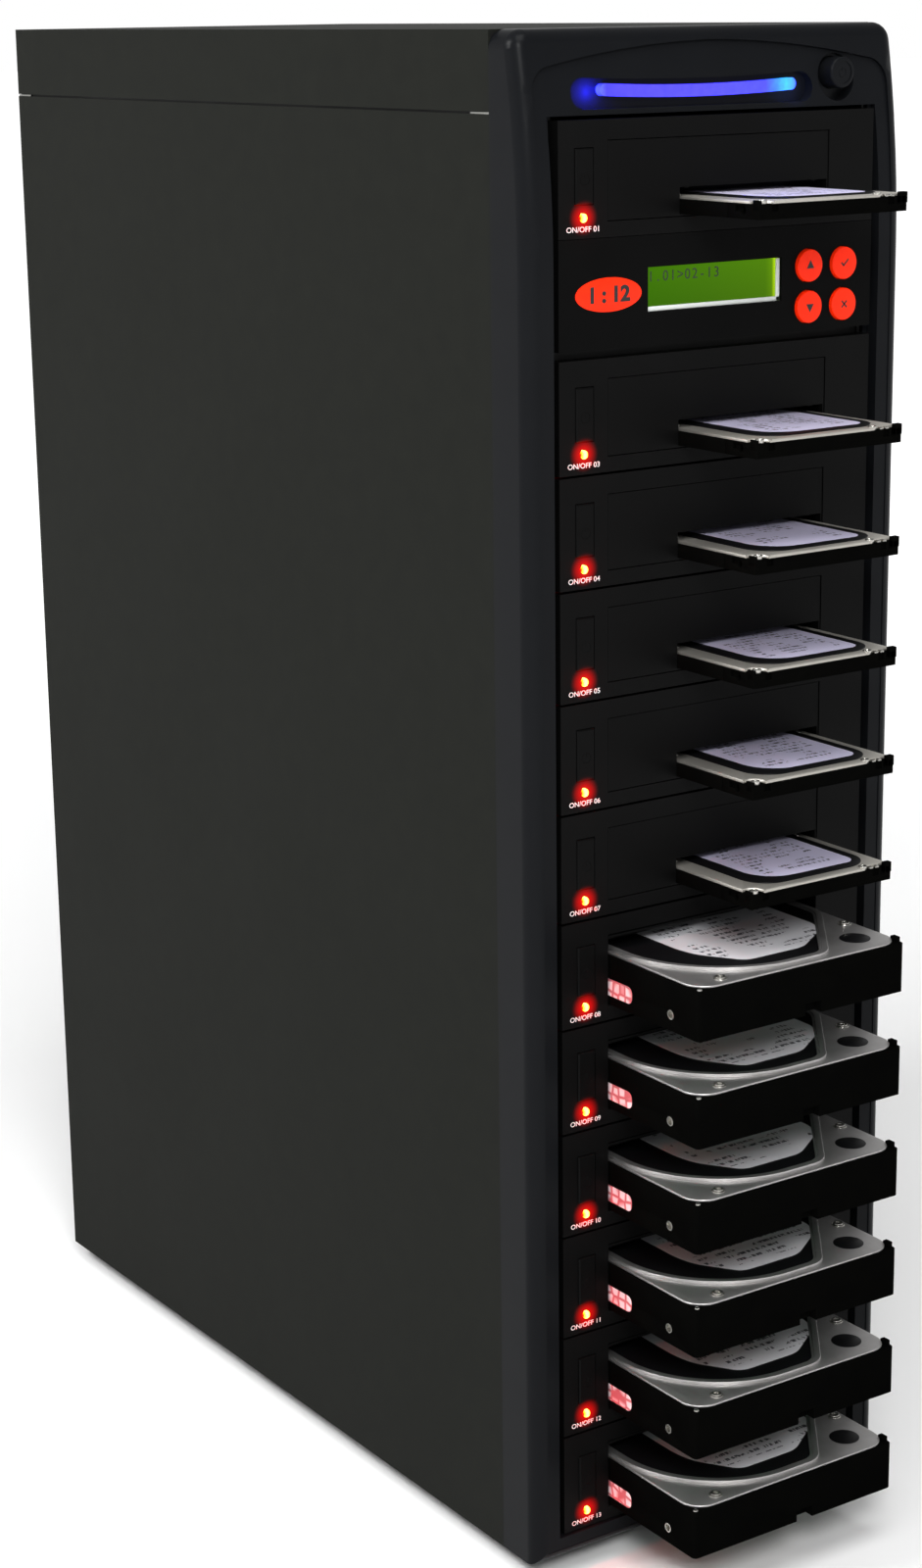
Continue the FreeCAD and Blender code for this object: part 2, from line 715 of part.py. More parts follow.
def rack_button(bay):
    """Push button of a rack: a tall cap with a flange that keeps it behind the bezel."""
    body = piece(f"rack_button_{bay:02d}")
    cap = pad(body, "y", "face_y - push_out", "face_y + rack_thick + 0.2",
               rect("push_x - push_half", "bay_floor + push_low",
                    "push_x + push_half", "bay_floor + push_high"))
    bevel(body, cap, "0.5", lambda p: near(p.y, "face_y - push_out", 0.01))
    pad(body, "y", "face_y + rack_thick + 0.2", "face_y + rack_thick + 1.2",
        rect("push_x - push_half - 1.4", "bay_floor + push_low - 1.4",
             "push_x + push_half + 1.4", "bay_floor + push_high + 1.4"))
    lift(body, bay)


# ---------------------------------------------------------------- drives

def small_drive(bay):
    """2.5 inch drive: cast base with notches beside its tabs, cover, raised disc cap, plug recess behind."""
    body = piece(f"small_drive_{bay:02d}")
    front = "face_y - small_out"
    back = f"{front} + small_long"
    right = "small_left + small_wide"
    low = "bay_floor + small_low"
    top = f"{low} + small_high"
    step = f"{top} - 2.2"
    pad(body, "z", low, step,
        [("small_left", f"{front} + 1.2"), ("small_left + 1.2", front), ("small_left + 7", front),
         ("small_left + 7", f"{front} + 1.4"), ("small_left + 11", f"{front} + 1.4"),
         ("small_left + 11", front),
         (f"{right} - 8", front), (f"{right} - 8", f"{front} + 1.4"), (f"{right} - 4", f"{front} + 1.4"),
         (f"{right} - 4", front), (f"{right} - 1.2", front), (right, f"{front} + 1.2"),
         (right, back), ("small_left", back)])
    pad(body, "z", step, f"{step} + 1.3",
        [("small_left + 0.9", f"{front} + 5"), ("small_left + 3.4", f"{front} + 2.6"),
         (f"{right} - 3.4", f"{front} + 2.6"), (f"{right} - 0.9", f"{front} + 5"),
         (f"{right} - 0.9", f"{back} - 6"), ("small_left + 0.9", f"{back} - 6")])
    pad(body, "z", f"{step} + 1.3", top,
        [("small_left + 3", f"{front} + 18"), ("small_left + 15", f"{front} + 5"),
         (f"{right} - 15", f"{front} + 5"), (f"{right} - 3", f"{front} + 18"),
         (f"{right} - 3", f"{back} - 22"), (f"{right} - 14", f"{back} - 9"),
         ("small_left + 3", f"{back} - 9")])
    pad(body, "z", f"{step} - 1", top, rect(f"{right} - 1.5", f"{front} + 1.2", right, f"{front} + 3"))
    pad(body, "z", f"{step} - 1", f"{top} - 0.4",
        rect("small_left + 0.3", f"{front} + 0.6", "small_left + 2.4", f"{front} + 2.3"))
    pocket(body, "x", "small_left - 1", "small_left + 1.4",
           rect(f"{front} + 4.5", f"{low} + 1.8", f"{front} + 9", f"{step} - 0.8"))
    pocket(body, "y", f"{back} - 5", f"{back} + 1",
           rect("small_plug_left - 0.4", f"{low} + 1", "small_plug_right + 0.4", f"{low} + 1.8 + plug_high"))
    lift(body, bay)


def large_drive(bay):
    """3.5 inch drive: cast base, round-cornered cover, raised cap over the discs and the arm, plug recess."""
    body = piece(f"large_drive_{bay:02d}")
    front = "face_y - large_out"
    back = f"{front} + large_long"
    low = "bay_floor + large_low"
    top = f"{low} + large_high"
    pad(body, "z", low, f"{top} - 2.4",
        [("1.6 - large_half", front), ("large_half - 1.6", front), ("large_half", f"{front} + 1.6"),
         ("large_half", back), ("-large_half", back), ("-large_half", f"{front} + 1.6")])
    pad(body, "z", f"{top} - 2.4", f"{top} - 1.4",
        [("0.6 - large_half", f"{front} + 10"), through("3.4 - large_half", f"{front} + 3.4"),
         ("10 - large_half", f"{front} + 0.6"), ("large_half - 12", f"{front} + 0.6"),
         through("large_half - 3.9", f"{front} + 3.9"), ("large_half - 0.6", f"{front} + 12"),
         ("large_half - 0.6", f"{back} - 8"), ("0.6 - large_half", f"{back} - 8")])
    pad(body, "z", f"{top} - 1.4", top, cap_outline(front, back))
    pad(body, "z", f"{top} - 4", f"{top} - 0.6",
        rect("large_half - 2.2", f"{front} + 2.5", "large_half", f"{front} + 6"))
    pocket(body, "y", f"{front} - 1", f"{front} + 4", rect("1", f"{low} - 1", "9", f"{low} + 4.6"))
    for side in ("-large_half", "large_half"):
        pocket(body, "x", f"{side} - 4", f"{side} + 4", polygon(f"{front} + 16.9", f"{low} + 6.35", "1.8", 6))
    pocket(body, "z", f"{low} - 1", f"{low} + 1.6",
           rect("6 - large_half", f"{front} + 24", "large_half - 6", f"{back} - 4"))
    pocket(body, "y", f"{back} - 5", f"{back} + 1",
           rect("large_plug_left - 0.4", f"{low} + 3.1",
                "large_plug_right + 0.4", f"{low} + 3.9 + plug_high"))
    lift(body, bay)


def cap_outline(front, back):
    """Round the discs from the left side to the front, then aslant past the arm to the right side."""
    left, right = "1.6 - large_half", "large_half - 2.6"
    nose = f"{front} + cap_nose"
    aside = "cap_round * (1 - 0.7071068)"
    return [(left, f"{nose} + cap_round"), through(f"{left} + {aside}", f"{nose} + {aside}"),
            (f"{left} + cap_round", nose), ("cap_corner - 5", nose),
            through("cap_corner - 1", f"{nose} + 1.1"),
            ("cap_corner + 2", f"{nose} + 4"), (f"{right} - 4", f"{nose} + 36"), (right, f"{nose} + 46"),
            (right, f"{back} - 46"), (f"{right} - 20", f"{back} - 12"), (left, f"{back} - 12")]


# ---------------------------------------------------------------- control panel

def key_spots():
    """Name and place of each key on the panel."""
    return {"key_up": ("key_left", "key_high"), "key_down": ("key_left", "key_low"),
            "key_enter": ("key_right", "key_high"), "key_escape": ("key_right", "key_low")}


def control_panel():
    """Blank plate with a window and four key holes, and lugs that reach back to the columns."""
    body = piece("control_panel")
    keys = [polygon(x, z, "key_round + key_gap * 1.3", 24) for x, z in key_spots().values()]
    pad(body, "y", "face_y", "face_y + panel_thick",
        rect("-rack_half", "panel_low", "rack_half", "panel_high"),
        rect("window_left", "window_low", "window_right", "window_high"), *keys)
    for low, high in (("-column_half", "2 - column_half"), ("column_half - 2", "column_half")):
        pad(body, "x", low, high,
            rect("face_y + panel_thick", "panel_low + 8", "face_y + panel_thick + 16", "panel_high - 4"))


def lcd_display():
    """Display module behind the panel, its glass standing in the window."""
    body = piece("lcd_display")
    pad(body, "y", "face_y + panel_thick", "face_y + panel_thick + 6",
        rect("window_left - 5", "window_low - 5", "window_right + 4", "window_high + 5"))
    pad(body, "y", "face_y + 1.4", "face_y + panel_thick",
        rect("window_left + 0.3", "window_low + 0.3", "window_right - 0.3", "window_high - 0.3"))


def controller_board():
    """Key board behind the display, and the copy controller on its shelf with a port for each rack."""
    body = piece("controller_board")
    behind = "face_y + panel_thick + 6"
    pad(body, "y", behind, f"{behind} + board_thick", rect("-68", "window_low - 6", "68", "window_high + 7"))
    pad(body, "y", f"{behind} - 2.6", behind, *[block(x, z, "3") for x, z in key_spots().values()])
    board = "shelf_z + 5"
    pad(body, "z", board, f"{board} + board_thick", rect("-60", "face_y + 40", "60", "face_y + 180"))
    posts = [block(x, y, "3") for x in (-54, 54) for y in ("face_y + 46", "face_y + 174")]
    pad(body, "z", "shelf_z", board, *posts)
    chips = [rect("-16", "face_y + 90", "16", "face_y + 122"),
             rect("-50", "face_y + 60", "-30", "face_y + 80"),
             rect("28", "face_y + 60", "50", "face_y + 82")]
    pad(body, "z", f"{board} + board_thick", f"{board} + board_thick + 3", *chips)
    port = pad(body, "z", f"{board} + board_thick", f"{board} + board_thick + 9",
               rect("-55", "face_y + 160", "-47", "face_y + 176"))
    row = body.newObject("PartDesign::LinearPattern", "ports")
    row.Originals = [port]
    row.Direction = (origin_feature(body, "X_Axis"), [""])
    row.Length = 99
    row.Occurrences = 12
    body.Tip = row


def panel_key(name, x, z):
    """Round key with a collar that keeps it behind the panel."""
    body = piece(name)
    pad(body, "y", "face_y - key_out", "face_y + panel_thick + 0.2", disc(x, z, "key_round"))
    pad(body, "y", "face_y + panel_thick + 0.2", "face_y + panel_thick + 1.2", block(x, z, "key_round + 0.8"))


# ---------------------------------------------------------------- power and cooling

def power_supply():
    """Power supply in its own box: vent slots and a cord inlet with its three pins on the rear face."""
    body = piece("power_supply")
    face = "rear_y - skin"
    low = "case_low + skin"
    inner = f"{face} - psu_deep"
    outside = rect("-psu_half", low, "psu_half", f"{low} + psu_high")
    pad(body, "y", inner, face, outside)
    pocket(body, "y", f"{inner} - 1", f"{face} - inlet_deep - 2",
           rect("psu_sheet - psu_half", f"{low} + psu_sheet",
                "psu_half - psu_sheet", f"{low} + psu_high - psu_sheet"))
    pad(body, "y", inner, f"{inner} + psu_sheet", outside,
        polygon("0", f"{low} + psu_high / 2", "psu_fan", 16))
    slot = pocket(body, "y", f"{face} - inlet_deep - 3", f"{face} + 1",
                  rect("-26", f"{low} + 12", "-22", f"{low} + psu_high - 12"))
    row = body.newObject("PartDesign::LinearPattern", "vents")
    row.Originals = [slot]
    row.Direction = (origin_feature(body, "X_Axis"), [""])
    row.Length = 88
    row.Occurrences = 10
    body.Tip = row
    pocket(body, "y", f"{face} - inlet_deep", f"{face} + 1",
           [("inlet_x - inlet_half", "inlet_z - inlet_high"),
            ("inlet_x + inlet_half", "inlet_z - inlet_high"),
            ("inlet_x + inlet_half", "inlet_z + inlet_high - 4"),
            ("inlet_x + inlet_half - 4", "inlet_z + inlet_high"),
            ("inlet_x - inlet_half + 4", "inlet_z + inlet_high"),
            ("inlet_x - inlet_half", "inlet_z + inlet_high - 4")])
    pins = [rect(f"inlet_x + {x} - 1", f"inlet_z + {z} - 2", f"inlet_x + {x} + 1", f"inlet_z + {z} + 2")
            for x, z in ((-7, -2), (0, 2), (7, -2))]
    pad(body, "y", f"{face} - inlet_deep", f"{face} - inlet_deep + 11", *pins)


def fan_frame():
    """Square frame of the rear fan, with its motor seat on four struts beside the grille."""
    body = piece("fan_frame")
    back = "rear_y - skin"
    middle = "fan_low + fan_half"
    pad(body, "y", f"{back} - fan_deep", back,
        rect("-fan_half", "fan_low", "fan_half", "fan_low + 2 * fan_half"),
        polygon("0", middle, "fan_bore", 36))
    reach = "(fan_bore + 1)"
    pad(body, "y", f"{back} - 3", back, rect(f"-{reach}", f"{middle} - 2", reach, f"{middle} + 2"))
    pad(body, "y", f"{back} - 3", back, rect("-2", f"{middle} - {reach}", "2", f"{middle} + {reach}"))
    pad(body, "y", f"{back} - 3", back, polygon("0", middle, "hub_round", 16))
    pocket(body, "y", f"{back} - 4", f"{back} - 1", disc("0", middle, "shaft_round + shaft_gap"))


def fan_rotor():
    """Seven pitched blades on a hub, with the shaft that runs in the frame's motor seat."""
    body = piece("fan_rotor")
    back = "rear_y - skin - 3.5"
    middle = "0"
    pad(body, "y", f"{back} - 18", back, polygon("0", middle, "hub_round", 14))
    pad(body, "y", back, f"{back} + 2.2", disc("0", middle, "shaft_round"))
    blade = pad(body, "x", "hub_round - 3", "fan_bore - 1.5",
                [(f"{back} - 17", "-11"), (f"{back} - 14.6", "-11"),
                 (f"{back} - 1", "11"), (f"{back} - 3.4", "11")])
    turn = body.newObject("PartDesign::PolarPattern", "blades")
    turn.Originals = [blade]
    turn.Axis = (origin_feature(body, "Y_Axis"), [""])
    turn.Angle = 360
    turn.Occurrences = 7
    body.Tip = turn
    body.setExpression("Placement.Base.z", bind("fan_low + fan_half"))


def finish_parts():
    """Check every object and every piece, then write one file for each piece."""
    doc.recompute()
    for item in doc.Objects:
        if "Invalid" in item.State or "Error" in item.State:
            raise RuntimeError(f"{item.Label} of {item.Name} failed: {item.State}")
    os.makedirs("parts", exist_ok=True)
    for name, item in pieces.items():
        shape = item.Shape
        if shape.isNull() or not shape.isValid():
            raise RuntimeError(f"{name} has no valid shape")
        shape.exportStep(f"parts/{name}.step")
        print(f"{name}: {len(shape.Solids)} solids, {shape.Volume / 1000:.1f} cm3")


chassis()
top_cover()
side_panel("left_side_panel", -1)
side_panel("right_side_panel", 1)
feet()
front_bezel()
light_bar()
power_button()
power_switch()
rack_bezels()
rack_cages()
rack_boards()
status_lenses()
rack_doors()
control_panel()
lcd_display()
controller_board()
for key, (x, z) in key_spots().items():
    panel_key(key, x, z)
power_supply()
fan_frame()
fan_rotor()
for bay in SMALL_BAYS:
    small_drive(bay)
    slot_flap(bay)
for bay in LARGE_BAYS:
    large_drive(bay)
    folding_door(bay)
for bay in RACK_BAYS:
    rack_button(bay)
finish_parts()
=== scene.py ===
import bmesh
import bpy
import math
from mathutils import Matrix, Vector


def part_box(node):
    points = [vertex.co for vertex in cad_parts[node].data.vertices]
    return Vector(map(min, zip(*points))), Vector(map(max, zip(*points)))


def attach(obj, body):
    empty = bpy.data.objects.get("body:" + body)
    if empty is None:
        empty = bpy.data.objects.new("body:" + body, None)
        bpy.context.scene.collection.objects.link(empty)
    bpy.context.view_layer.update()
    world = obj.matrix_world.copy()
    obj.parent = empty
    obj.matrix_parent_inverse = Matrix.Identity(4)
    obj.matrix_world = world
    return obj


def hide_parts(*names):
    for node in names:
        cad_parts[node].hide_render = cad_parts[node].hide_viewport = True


# Looks of the thirteen-bay drive duplicator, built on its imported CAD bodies.
# Sizes are in millimetres and turned to metres by the drawing helpers.

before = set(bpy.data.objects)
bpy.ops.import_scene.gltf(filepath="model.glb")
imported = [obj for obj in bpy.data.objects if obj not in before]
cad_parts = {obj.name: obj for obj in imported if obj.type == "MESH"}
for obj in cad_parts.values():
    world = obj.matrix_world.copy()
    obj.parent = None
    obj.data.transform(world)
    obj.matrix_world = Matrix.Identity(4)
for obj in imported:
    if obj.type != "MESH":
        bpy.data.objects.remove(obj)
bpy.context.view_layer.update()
bpy.ops.object.select_all(action="DESELECT")

MM = 0.001
BAY_PITCH = 42.5
LARGE_BAYS = range(8, 14)
SMALL_BAYS = (1, 3, 4, 5, 6, 7)
RACK_BAYS = sorted([*LARGE_BAYS, *SMALL_BAYS])
LAMP_X = -63
LAMP_BELOW_BUTTON = 3.3
LAMP_RADIUS = 1.6
LAMP_PROUD = 1
DISPLAY = ((-33.4, 501.9), (27.2, 515.9))
KEY_RADIUS = 6.1
POWER_BUTTON_RADIUS = 5.8
FOOT_RADIUS = 15
PRINT_MARGIN = 5
UP = Vector((0, 0, 1))
FORWARD = Vector((0, -1, 0))


def box(node):
    """Lowest and highest corner of a CAD node, in millimetres."""
    low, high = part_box(node)
    return low / MM, high / MM


def lamp_place(bay):
    """Middle of a bay's status light on the face of its rack."""
    return Vector((LAMP_X, box("rack_bezels")[0].y, box(f"rack_button_{bay:02d}")[0].z - LAMP_BELOW_BUTTON))


# ---------------------------------------------------------------- drawing helpers

def only(piece):
    """Select this piece alone."""
    bpy.ops.object.select_all(action="DESELECT")
    piece.select_set(True)
    bpy.context.view_layer.objects.active = piece


def settle(name):
    """Name the new primitive and put its place, turn and size into its mesh."""
    piece = bpy.context.object
    piece.name = piece.data.name = name
    bpy.ops.object.transform_apply(location=True, rotation=True, scale=True)
    return piece


def block(name, low, high):
    """A block between two corners."""
    low, high = Vector(low) * MM, Vector(high) * MM
    bpy.ops.object.select_all(action="DESELECT")
    bpy.ops.mesh.primitive_cube_add(size=1, location=(low + high) / 2, scale=high - low)
    return settle(name)


def rod(name, start, axis, radius, length, sides=24):
    """A round bar that starts at a point and runs along an axis."""
    axis = Vector(axis).normalized()
    middle = (Vector(start) + axis * length / 2) * MM
    bpy.ops.object.select_all(action="DESELECT")
    bpy.ops.mesh.primitive_cylinder_add(vertices=sides, radius=radius * MM, depth=length * MM,
                                        location=middle, rotation=axis.to_track_quat("Z", "Y").to_euler())
    return settle(name)


def ring(name, middle, axis, radius, wire, around=32, across=8):
    """A wire bent into a ring."""
    bpy.ops.object.select_all(action="DESELECT")
    bpy.ops.mesh.primitive_torus_add(major_radius=radius * MM, minor_radius=wire * MM, major_segments=around,
                                     minor_segments=across, location=Vector(middle) * MM,
                                     rotation=Vector(axis).to_track_quat("Z", "Y").to_euler())
    return settle(name)


def pick(piece, kind, wanted):
    """Open a piece in edit mode with only the wanted faces or edges selected."""
    only(piece)
    bpy.ops.object.mode_set(mode="EDIT")
    bpy.ops.mesh.select_mode(type=kind)
    bpy.ops.mesh.select_all(action="DESELECT")
    shape = bmesh.from_edit_mesh(piece.data)
    for part in shape.faces if kind == "FACE" else shape.edges:
        part.select_set(wanted(part))
    bmesh.update_edit_mesh(piece.data)


def close():
    """Leave edit mode."""
    bpy.ops.object.mode_set(mode="OBJECT")


def round_edges(piece, size, steps, wanted):
    """Bevel the wanted edges."""
    pick(piece, "EDGE", wanted)
    bpy.ops.mesh.bevel(offset=size * MM, segments=steps, affect="EDGES")
    close()


def sink(piece, wanted, border, depth):
    """Inset the wanted faces by a border and push them in; a negative depth raises them."""
    pick(piece, "FACE", wanted)
    bpy.ops.mesh.inset(thickness=border * MM, depth=0)
    bpy.ops.mesh.inset(thickness=0.0001 * MM, depth=-depth * MM)
    close()


def trim(piece, place, towards):
    """Cut away all of a piece that lies beyond a plane."""
    pick(piece, "FACE", lambda face: True)
    bpy.ops.mesh.bisect(plane_co=Vector(place) * MM, plane_no=towards, use_fill=True, clear_outer=True)
    close()


def rim(edge, axis, place, towards=0.01):
    """True for an edge that lies in the plane where an axis has a value, in millimetres."""
    return all(abs(vert.co["xyz".index(axis)] / MM - place) < towards for vert in edge.verts)


def upright(edge, longer=0.3):
    """True for an edge that stands upright and is longer than a size in millimetres."""
    way = edge.verts[0].co - edge.verts[1].co
    return abs(way.z) > longer * MM and abs(way.x) + abs(way.y) < 0.01 * MM


def apply_modifier(piece, kind, **settings):
    """Add a modifier with its settings and apply it."""
    only(piece)
    modifier = piece.modifiers.new(kind.lower(), kind)
    for key, value in settings.items():
        setattr(modifier, key, value)
    bpy.ops.object.modifier_apply(modifier=modifier.name)


def cut(piece, *cutters):
    """Cut the shapes of other pieces out of a piece."""
    for cutter in cutters:
        apply_modifier(piece, "BOOLEAN", operation="DIFFERENCE", solver="EXACT", object=cutter)
        bpy.data.objects.remove(cutter)


def soft_edges(piece, size, steps=2):
    """Break every sharp edge and shade the piece smooth."""
    apply_modifier(piece, "BEVEL", width=size * MM, segments=steps, limit_method="ANGLE",
                   angle_limit=math.radians(30))
    smooth(piece)


def smooth(piece, angle=35):
    """Shade smooth, with corners sharper than the angle kept."""
    only(piece)
    bpy.ops.object.shade_smooth_by_angle(angle=math.radians(angle))


def join(name, parts):
    """Make one piece of several."""
    bpy.ops.object.select_all(action="DESELECT")
    for part in parts:
        part.select_set(True)
    bpy.context.view_layer.objects.active = parts[0]
    bpy.ops.object.join()
    piece = bpy.context.object
    piece.name = piece.data.name = name
    return piece


def copy_to(piece, name, shift):
    """A copy with a mesh of its own, moved by a vector."""
    twin = piece.copy()
    twin.data = piece.data.copy()
    twin.name = twin.data.name = name
    twin.data.transform(Matrix.Translation(Vector(shift) * MM))
    bpy.context.scene.collection.objects.link(twin)
    return twin


def lettering(name, text, middle, height, width=None, thick=0.04, bold=0.0):
    """Raised figures that face the front, as a mesh; a width stretches or squeezes the whole line to fit."""
    bpy.ops.object.select_all(action="DESELECT")
    bpy.ops.object.text_add()
    writing = bpy.context.object
    writing.data.body = text
    writing.data.size = height * MM / 0.7
    writing.data.align_x = "CENTER"
    writing.data.align_y = "CENTER"
    writing.data.offset = bold * MM
    writing.data.extrude = thick * MM
    bpy.ops.object.convert(target="MESH")
    if width:
        bpy.context.object.scale.x = width * MM / bpy.context.object.dimensions.x
    bpy.context.object.rotation_euler = (math.pi / 2, 0, 0)
    bpy.context.object.location = Vector(middle) * MM
    return settle(name)


def dress(piece, material, body):
    """Give a piece its body, and its material unless it is painted already."""
    if not piece.data.materials:
        piece.data.materials.append(material)
    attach(piece, body)
    return piece


def paint(piece, material, second, wanted):
    """Give a piece its material, and its wanted faces a second one."""
    piece.data.materials.append(material)
    piece.data.materials.append(second)
    for face in piece.data.polygons:
        face.material_index = 1 if wanted(face) else 0


# ---------------------------------------------------------------- material helpers

def srgb(code):
    """An sRGB hex value as the linear colour that a shader takes."""
    parts = [int(code[i:i + 2], 16) / 255 for i in (0, 2, 4)]
    return (*[p / 12.92 if p <= 0.04045 else ((p + 0.055) / 1.055) ** 2.4 for p in parts], 1)


def add(tree, kind, settings=None, inputs=None):
    """Add a node with its settings; each input is a value or another node's output."""
    node = tree.nodes.new(kind)
    for key, value in (settings or {}).items():
        setattr(node, key, value)
    for key, value in (inputs or {}).items():
        if isinstance(value, bpy.types.NodeSocket):
            tree.links.new(value, node.inputs[key])
        else:
            node.inputs[key].default_value = value
    return node


def surface(name, base, rough, **sockets):
    """A material of one shader with its constant values; returns it, its tree and its shader."""
    material = bpy.data.materials.new(name)
    material.use_nodes = True
    tree = material.node_tree
    shader = tree.nodes["Principled BSDF"]
    shader.inputs["Base Color"].default_value = srgb(base)
    shader.inputs["Roughness"].default_value = rough
    for key, value in sockets.items():
        shader.inputs[key.replace("_", " ")].default_value = value
    return material, tree, shader


def place_of(tree):
    """The object's own coordinates."""
    return add(tree, "ShaderNodeTexCoord").outputs["Object"]


def axes_of(tree):
    """The object's own coordinates, one by one."""
    return add(tree, "ShaderNodeSeparateXYZ", {}, {"Vector": place_of(tree)}).outputs


def calc(tree, operation, *values):
    """The result of a sum on values or other nodes' outputs."""
    return add(tree, "ShaderNodeMath", {"operation": operation}, dict(enumerate(values))).outputs[0]


def span(tree, value, low, high, to_low=0.0, to_high=1.0):
    """Stretch one range of a value to another."""
    return add(tree, "ShaderNodeMapRange", {}, {"Value": value, "From Min": low, "From Max": high,
                                                "To Min": to_low, "To Max": to_high}).outputs["Result"]


def noise(tree, size, detail):
    """Cloudy noise in patches of a size in millimetres."""
    return add(tree, "ShaderNodeTexNoise", {}, {"Vector": place_of(tree), "Scale": 1 / (size * MM),
                                                "Detail": detail}).outputs["Fac"]


def mix(tree, factor, first, second):
    """Blend two sRGB colours."""
    return add(tree, "ShaderNodeMix", {"data_type": "RGBA"}, {"Factor": factor, 6: srgb(first),
                                                              7: srgb(second)}).outputs[2]


def ramp(tree, factor, *stops):
    """Colours along a factor; each stop is a position and an sRGB value, and positions rise."""
    node = add(tree, "ShaderNodeValToRGB", {}, {"Fac": factor})
    elements = node.color_ramp.elements
    elements[0].color = srgb(stops[0][1])
    elements[1].position = stops[-1][0]
    elements[1].color = srgb(stops[-1][1])
    for position, code in stops[1:-1]:
        elements.new(position).color = srgb(code)
    return node.outputs["Color"]


def shine(tree, shader, colour, strength, brightness=None):
    """Let a surface give light of a colour; a brightness varies it over the surface."""
    if brightness is not None:
        scaled = add(tree, "ShaderNodeVectorMath", {"operation": "SCALE"}, {0: colour, "Scale": brightness})
        colour = scaled.outputs["Vector"]
    tree.links.new(colour, shader.inputs["Emission Color"])
    shader.inputs["Emission Strength"].default_value = strength


def emboss(tree, shader, height, strength, depth):
    """Raise the surface by a height pattern; the depth is in millimetres."""
    raised = add(tree, "ShaderNodeBump", {}, {"Height": height, "Strength": strength, "Distance": depth * MM})
    tree.links.new(raised.outputs["Normal"], shader.inputs["Normal"])


def grain(tree, shader, size, depth, rough_low, rough_high):
    """Moulded or sprayed grain: bumps of a size in millimetres, and a slowly changing gloss."""
    emboss(tree, shader, noise(tree, size, 3.0), 0.35, depth)
    gloss = span(tree, noise(tree, 60, 4.0), 0.3, 0.7, rough_low, rough_high)
    tree.links.new(gloss, shader.inputs["Roughness"])


def vary(tree, shader, dark, light, size):
    """Mottle the colour between two values, in patches of a size in millimetres."""
    tree.links.new(mix(tree, noise(tree, size, 5.0), dark, light), shader.inputs["Base Color"])


# ---------------------------------------------------------------- materials

def powder_coat():
    """Black powder coat on sheet steel: fine orange peel, half matt, faintly green."""
    material, tree, shader = surface("powder_coat_black", "191a18", 0.5, Specular_IOR_Level=0.02)
    vary(tree, shader, "171816", "1c1d1a", 9)
    grain(tree, shader, 1.1, 0.05, 0.46, 0.5)
    return material


def black_steel():
    """Black painted sheet steel of the chassis, duller than the covers."""
    material, tree, shader = surface("painted_steel_black", "101010", 0.6, Specular_IOR_Level=0.15)
    vary(tree, shader, "0d0d0d", "141414", 30)
    grain(tree, shader, 0.9, 0.04, 0.5, 0.68)
    return material


def moulded_abs(name, dark, light, rough_low, rough_high, gloss):
    """Injection-moulded black ABS with a fine spark-eroded grain."""
    material, tree, shader = surface(name, dark, rough_low, Specular_IOR_Level=gloss)
    vary(tree, shader, dark, light, 18)
    grain(tree, shader, 0.7, 0.03, rough_low, rough_high)
    return material


def rack_abs():
    """Black ABS of the racks, with a painted red glow of the status light on the face around each lens."""
    material = moulded_abs("abs_rack", "060606", "090909", 0.42, 0.5, 0.05)
    tree = material.node_tree
    shader = tree.nodes["Principled BSDF"]
    place = axes_of(tree)
    lamp_z = lamp_place(RACK_BAYS[0]).z * MM
    half_bay = BAY_PITCH / 2 * MM
    in_bay = calc(tree, "WRAP", place["Z"], lamp_z + half_bay, lamp_z - half_bay)
    offset = add(tree, "ShaderNodeCombineXYZ", {}, {"X": calc(tree, "SUBTRACT", place["X"], LAMP_X * MM),
                                                    "Y": calc(tree, "SUBTRACT", in_bay, lamp_z)})
    reach = add(tree, "ShaderNodeVectorMath", {"operation": "LENGTH"}, {0: offset.outputs["Vector"]})
    # Painted red glow: the plastic round each lens gives red light where the status light would fall on it.
    painted_red_glow = add(tree, "ShaderNodeMapRange", {"interpolation_type": "SMOOTHERSTEP"},
                {"Value": reach.outputs["Value"], "From Min": 0.5 * MM, "From Max": 7 * MM,
                 "To Min": 0.75, "To Max": 0.0})
    tree.links.new(painted_red_glow.outputs["Result"], shader.inputs["Emission Strength"])
    shader.inputs["Emission Color"].default_value = srgb("ff0402")
    return material


def lit_lens():
    """Clear acrylic light pipe over a red diode: a yellow-white heart and a red rim."""
    material, tree, shader = surface("acrylic_lens_red", "ff1404", 0.2)
    aside = calc(tree, "SUBTRACT", axes_of(tree)["X"], LAMP_X * MM)
    share = calc(tree, "DIVIDE", aside, LAMP_RADIUS * MM)
    colour = ramp(tree, calc(tree, "POWER", share, 2.0), (0, "ffe070"), (0.5, "ffb020"), (0.95, "ff1a02"))
    shine(tree, shader, colour, 4)
    return material


def lit_bar():
    """Frosted acrylic light bar: violet blue, cyan by the diode at its right end, pale at its left cap."""
    material, tree, shader = surface("acrylic_bar_blue", "2a24ff", 0.25)
    low, high = box("light_bar")
    colour = ramp(tree, span(tree, axes_of(tree)["X"], low.x * MM, high.x * MM),
                  (0, "5a6cff"), (0.03, "2a22f0"), (0.08, "3c30ff"), (0.5, "4038ff"), (0.84, "3a40ff"),
                  (0.9, "1e8cff"), (0.95, "20d0ff"), (0.98, "2cb4ff"), (1, "2f6cff"))
    shine(tree, shader, colour, 1.05, span(tree, noise(tree, 3, 2.0), 0.3, 0.7, 0.8, 1.15))
    return material


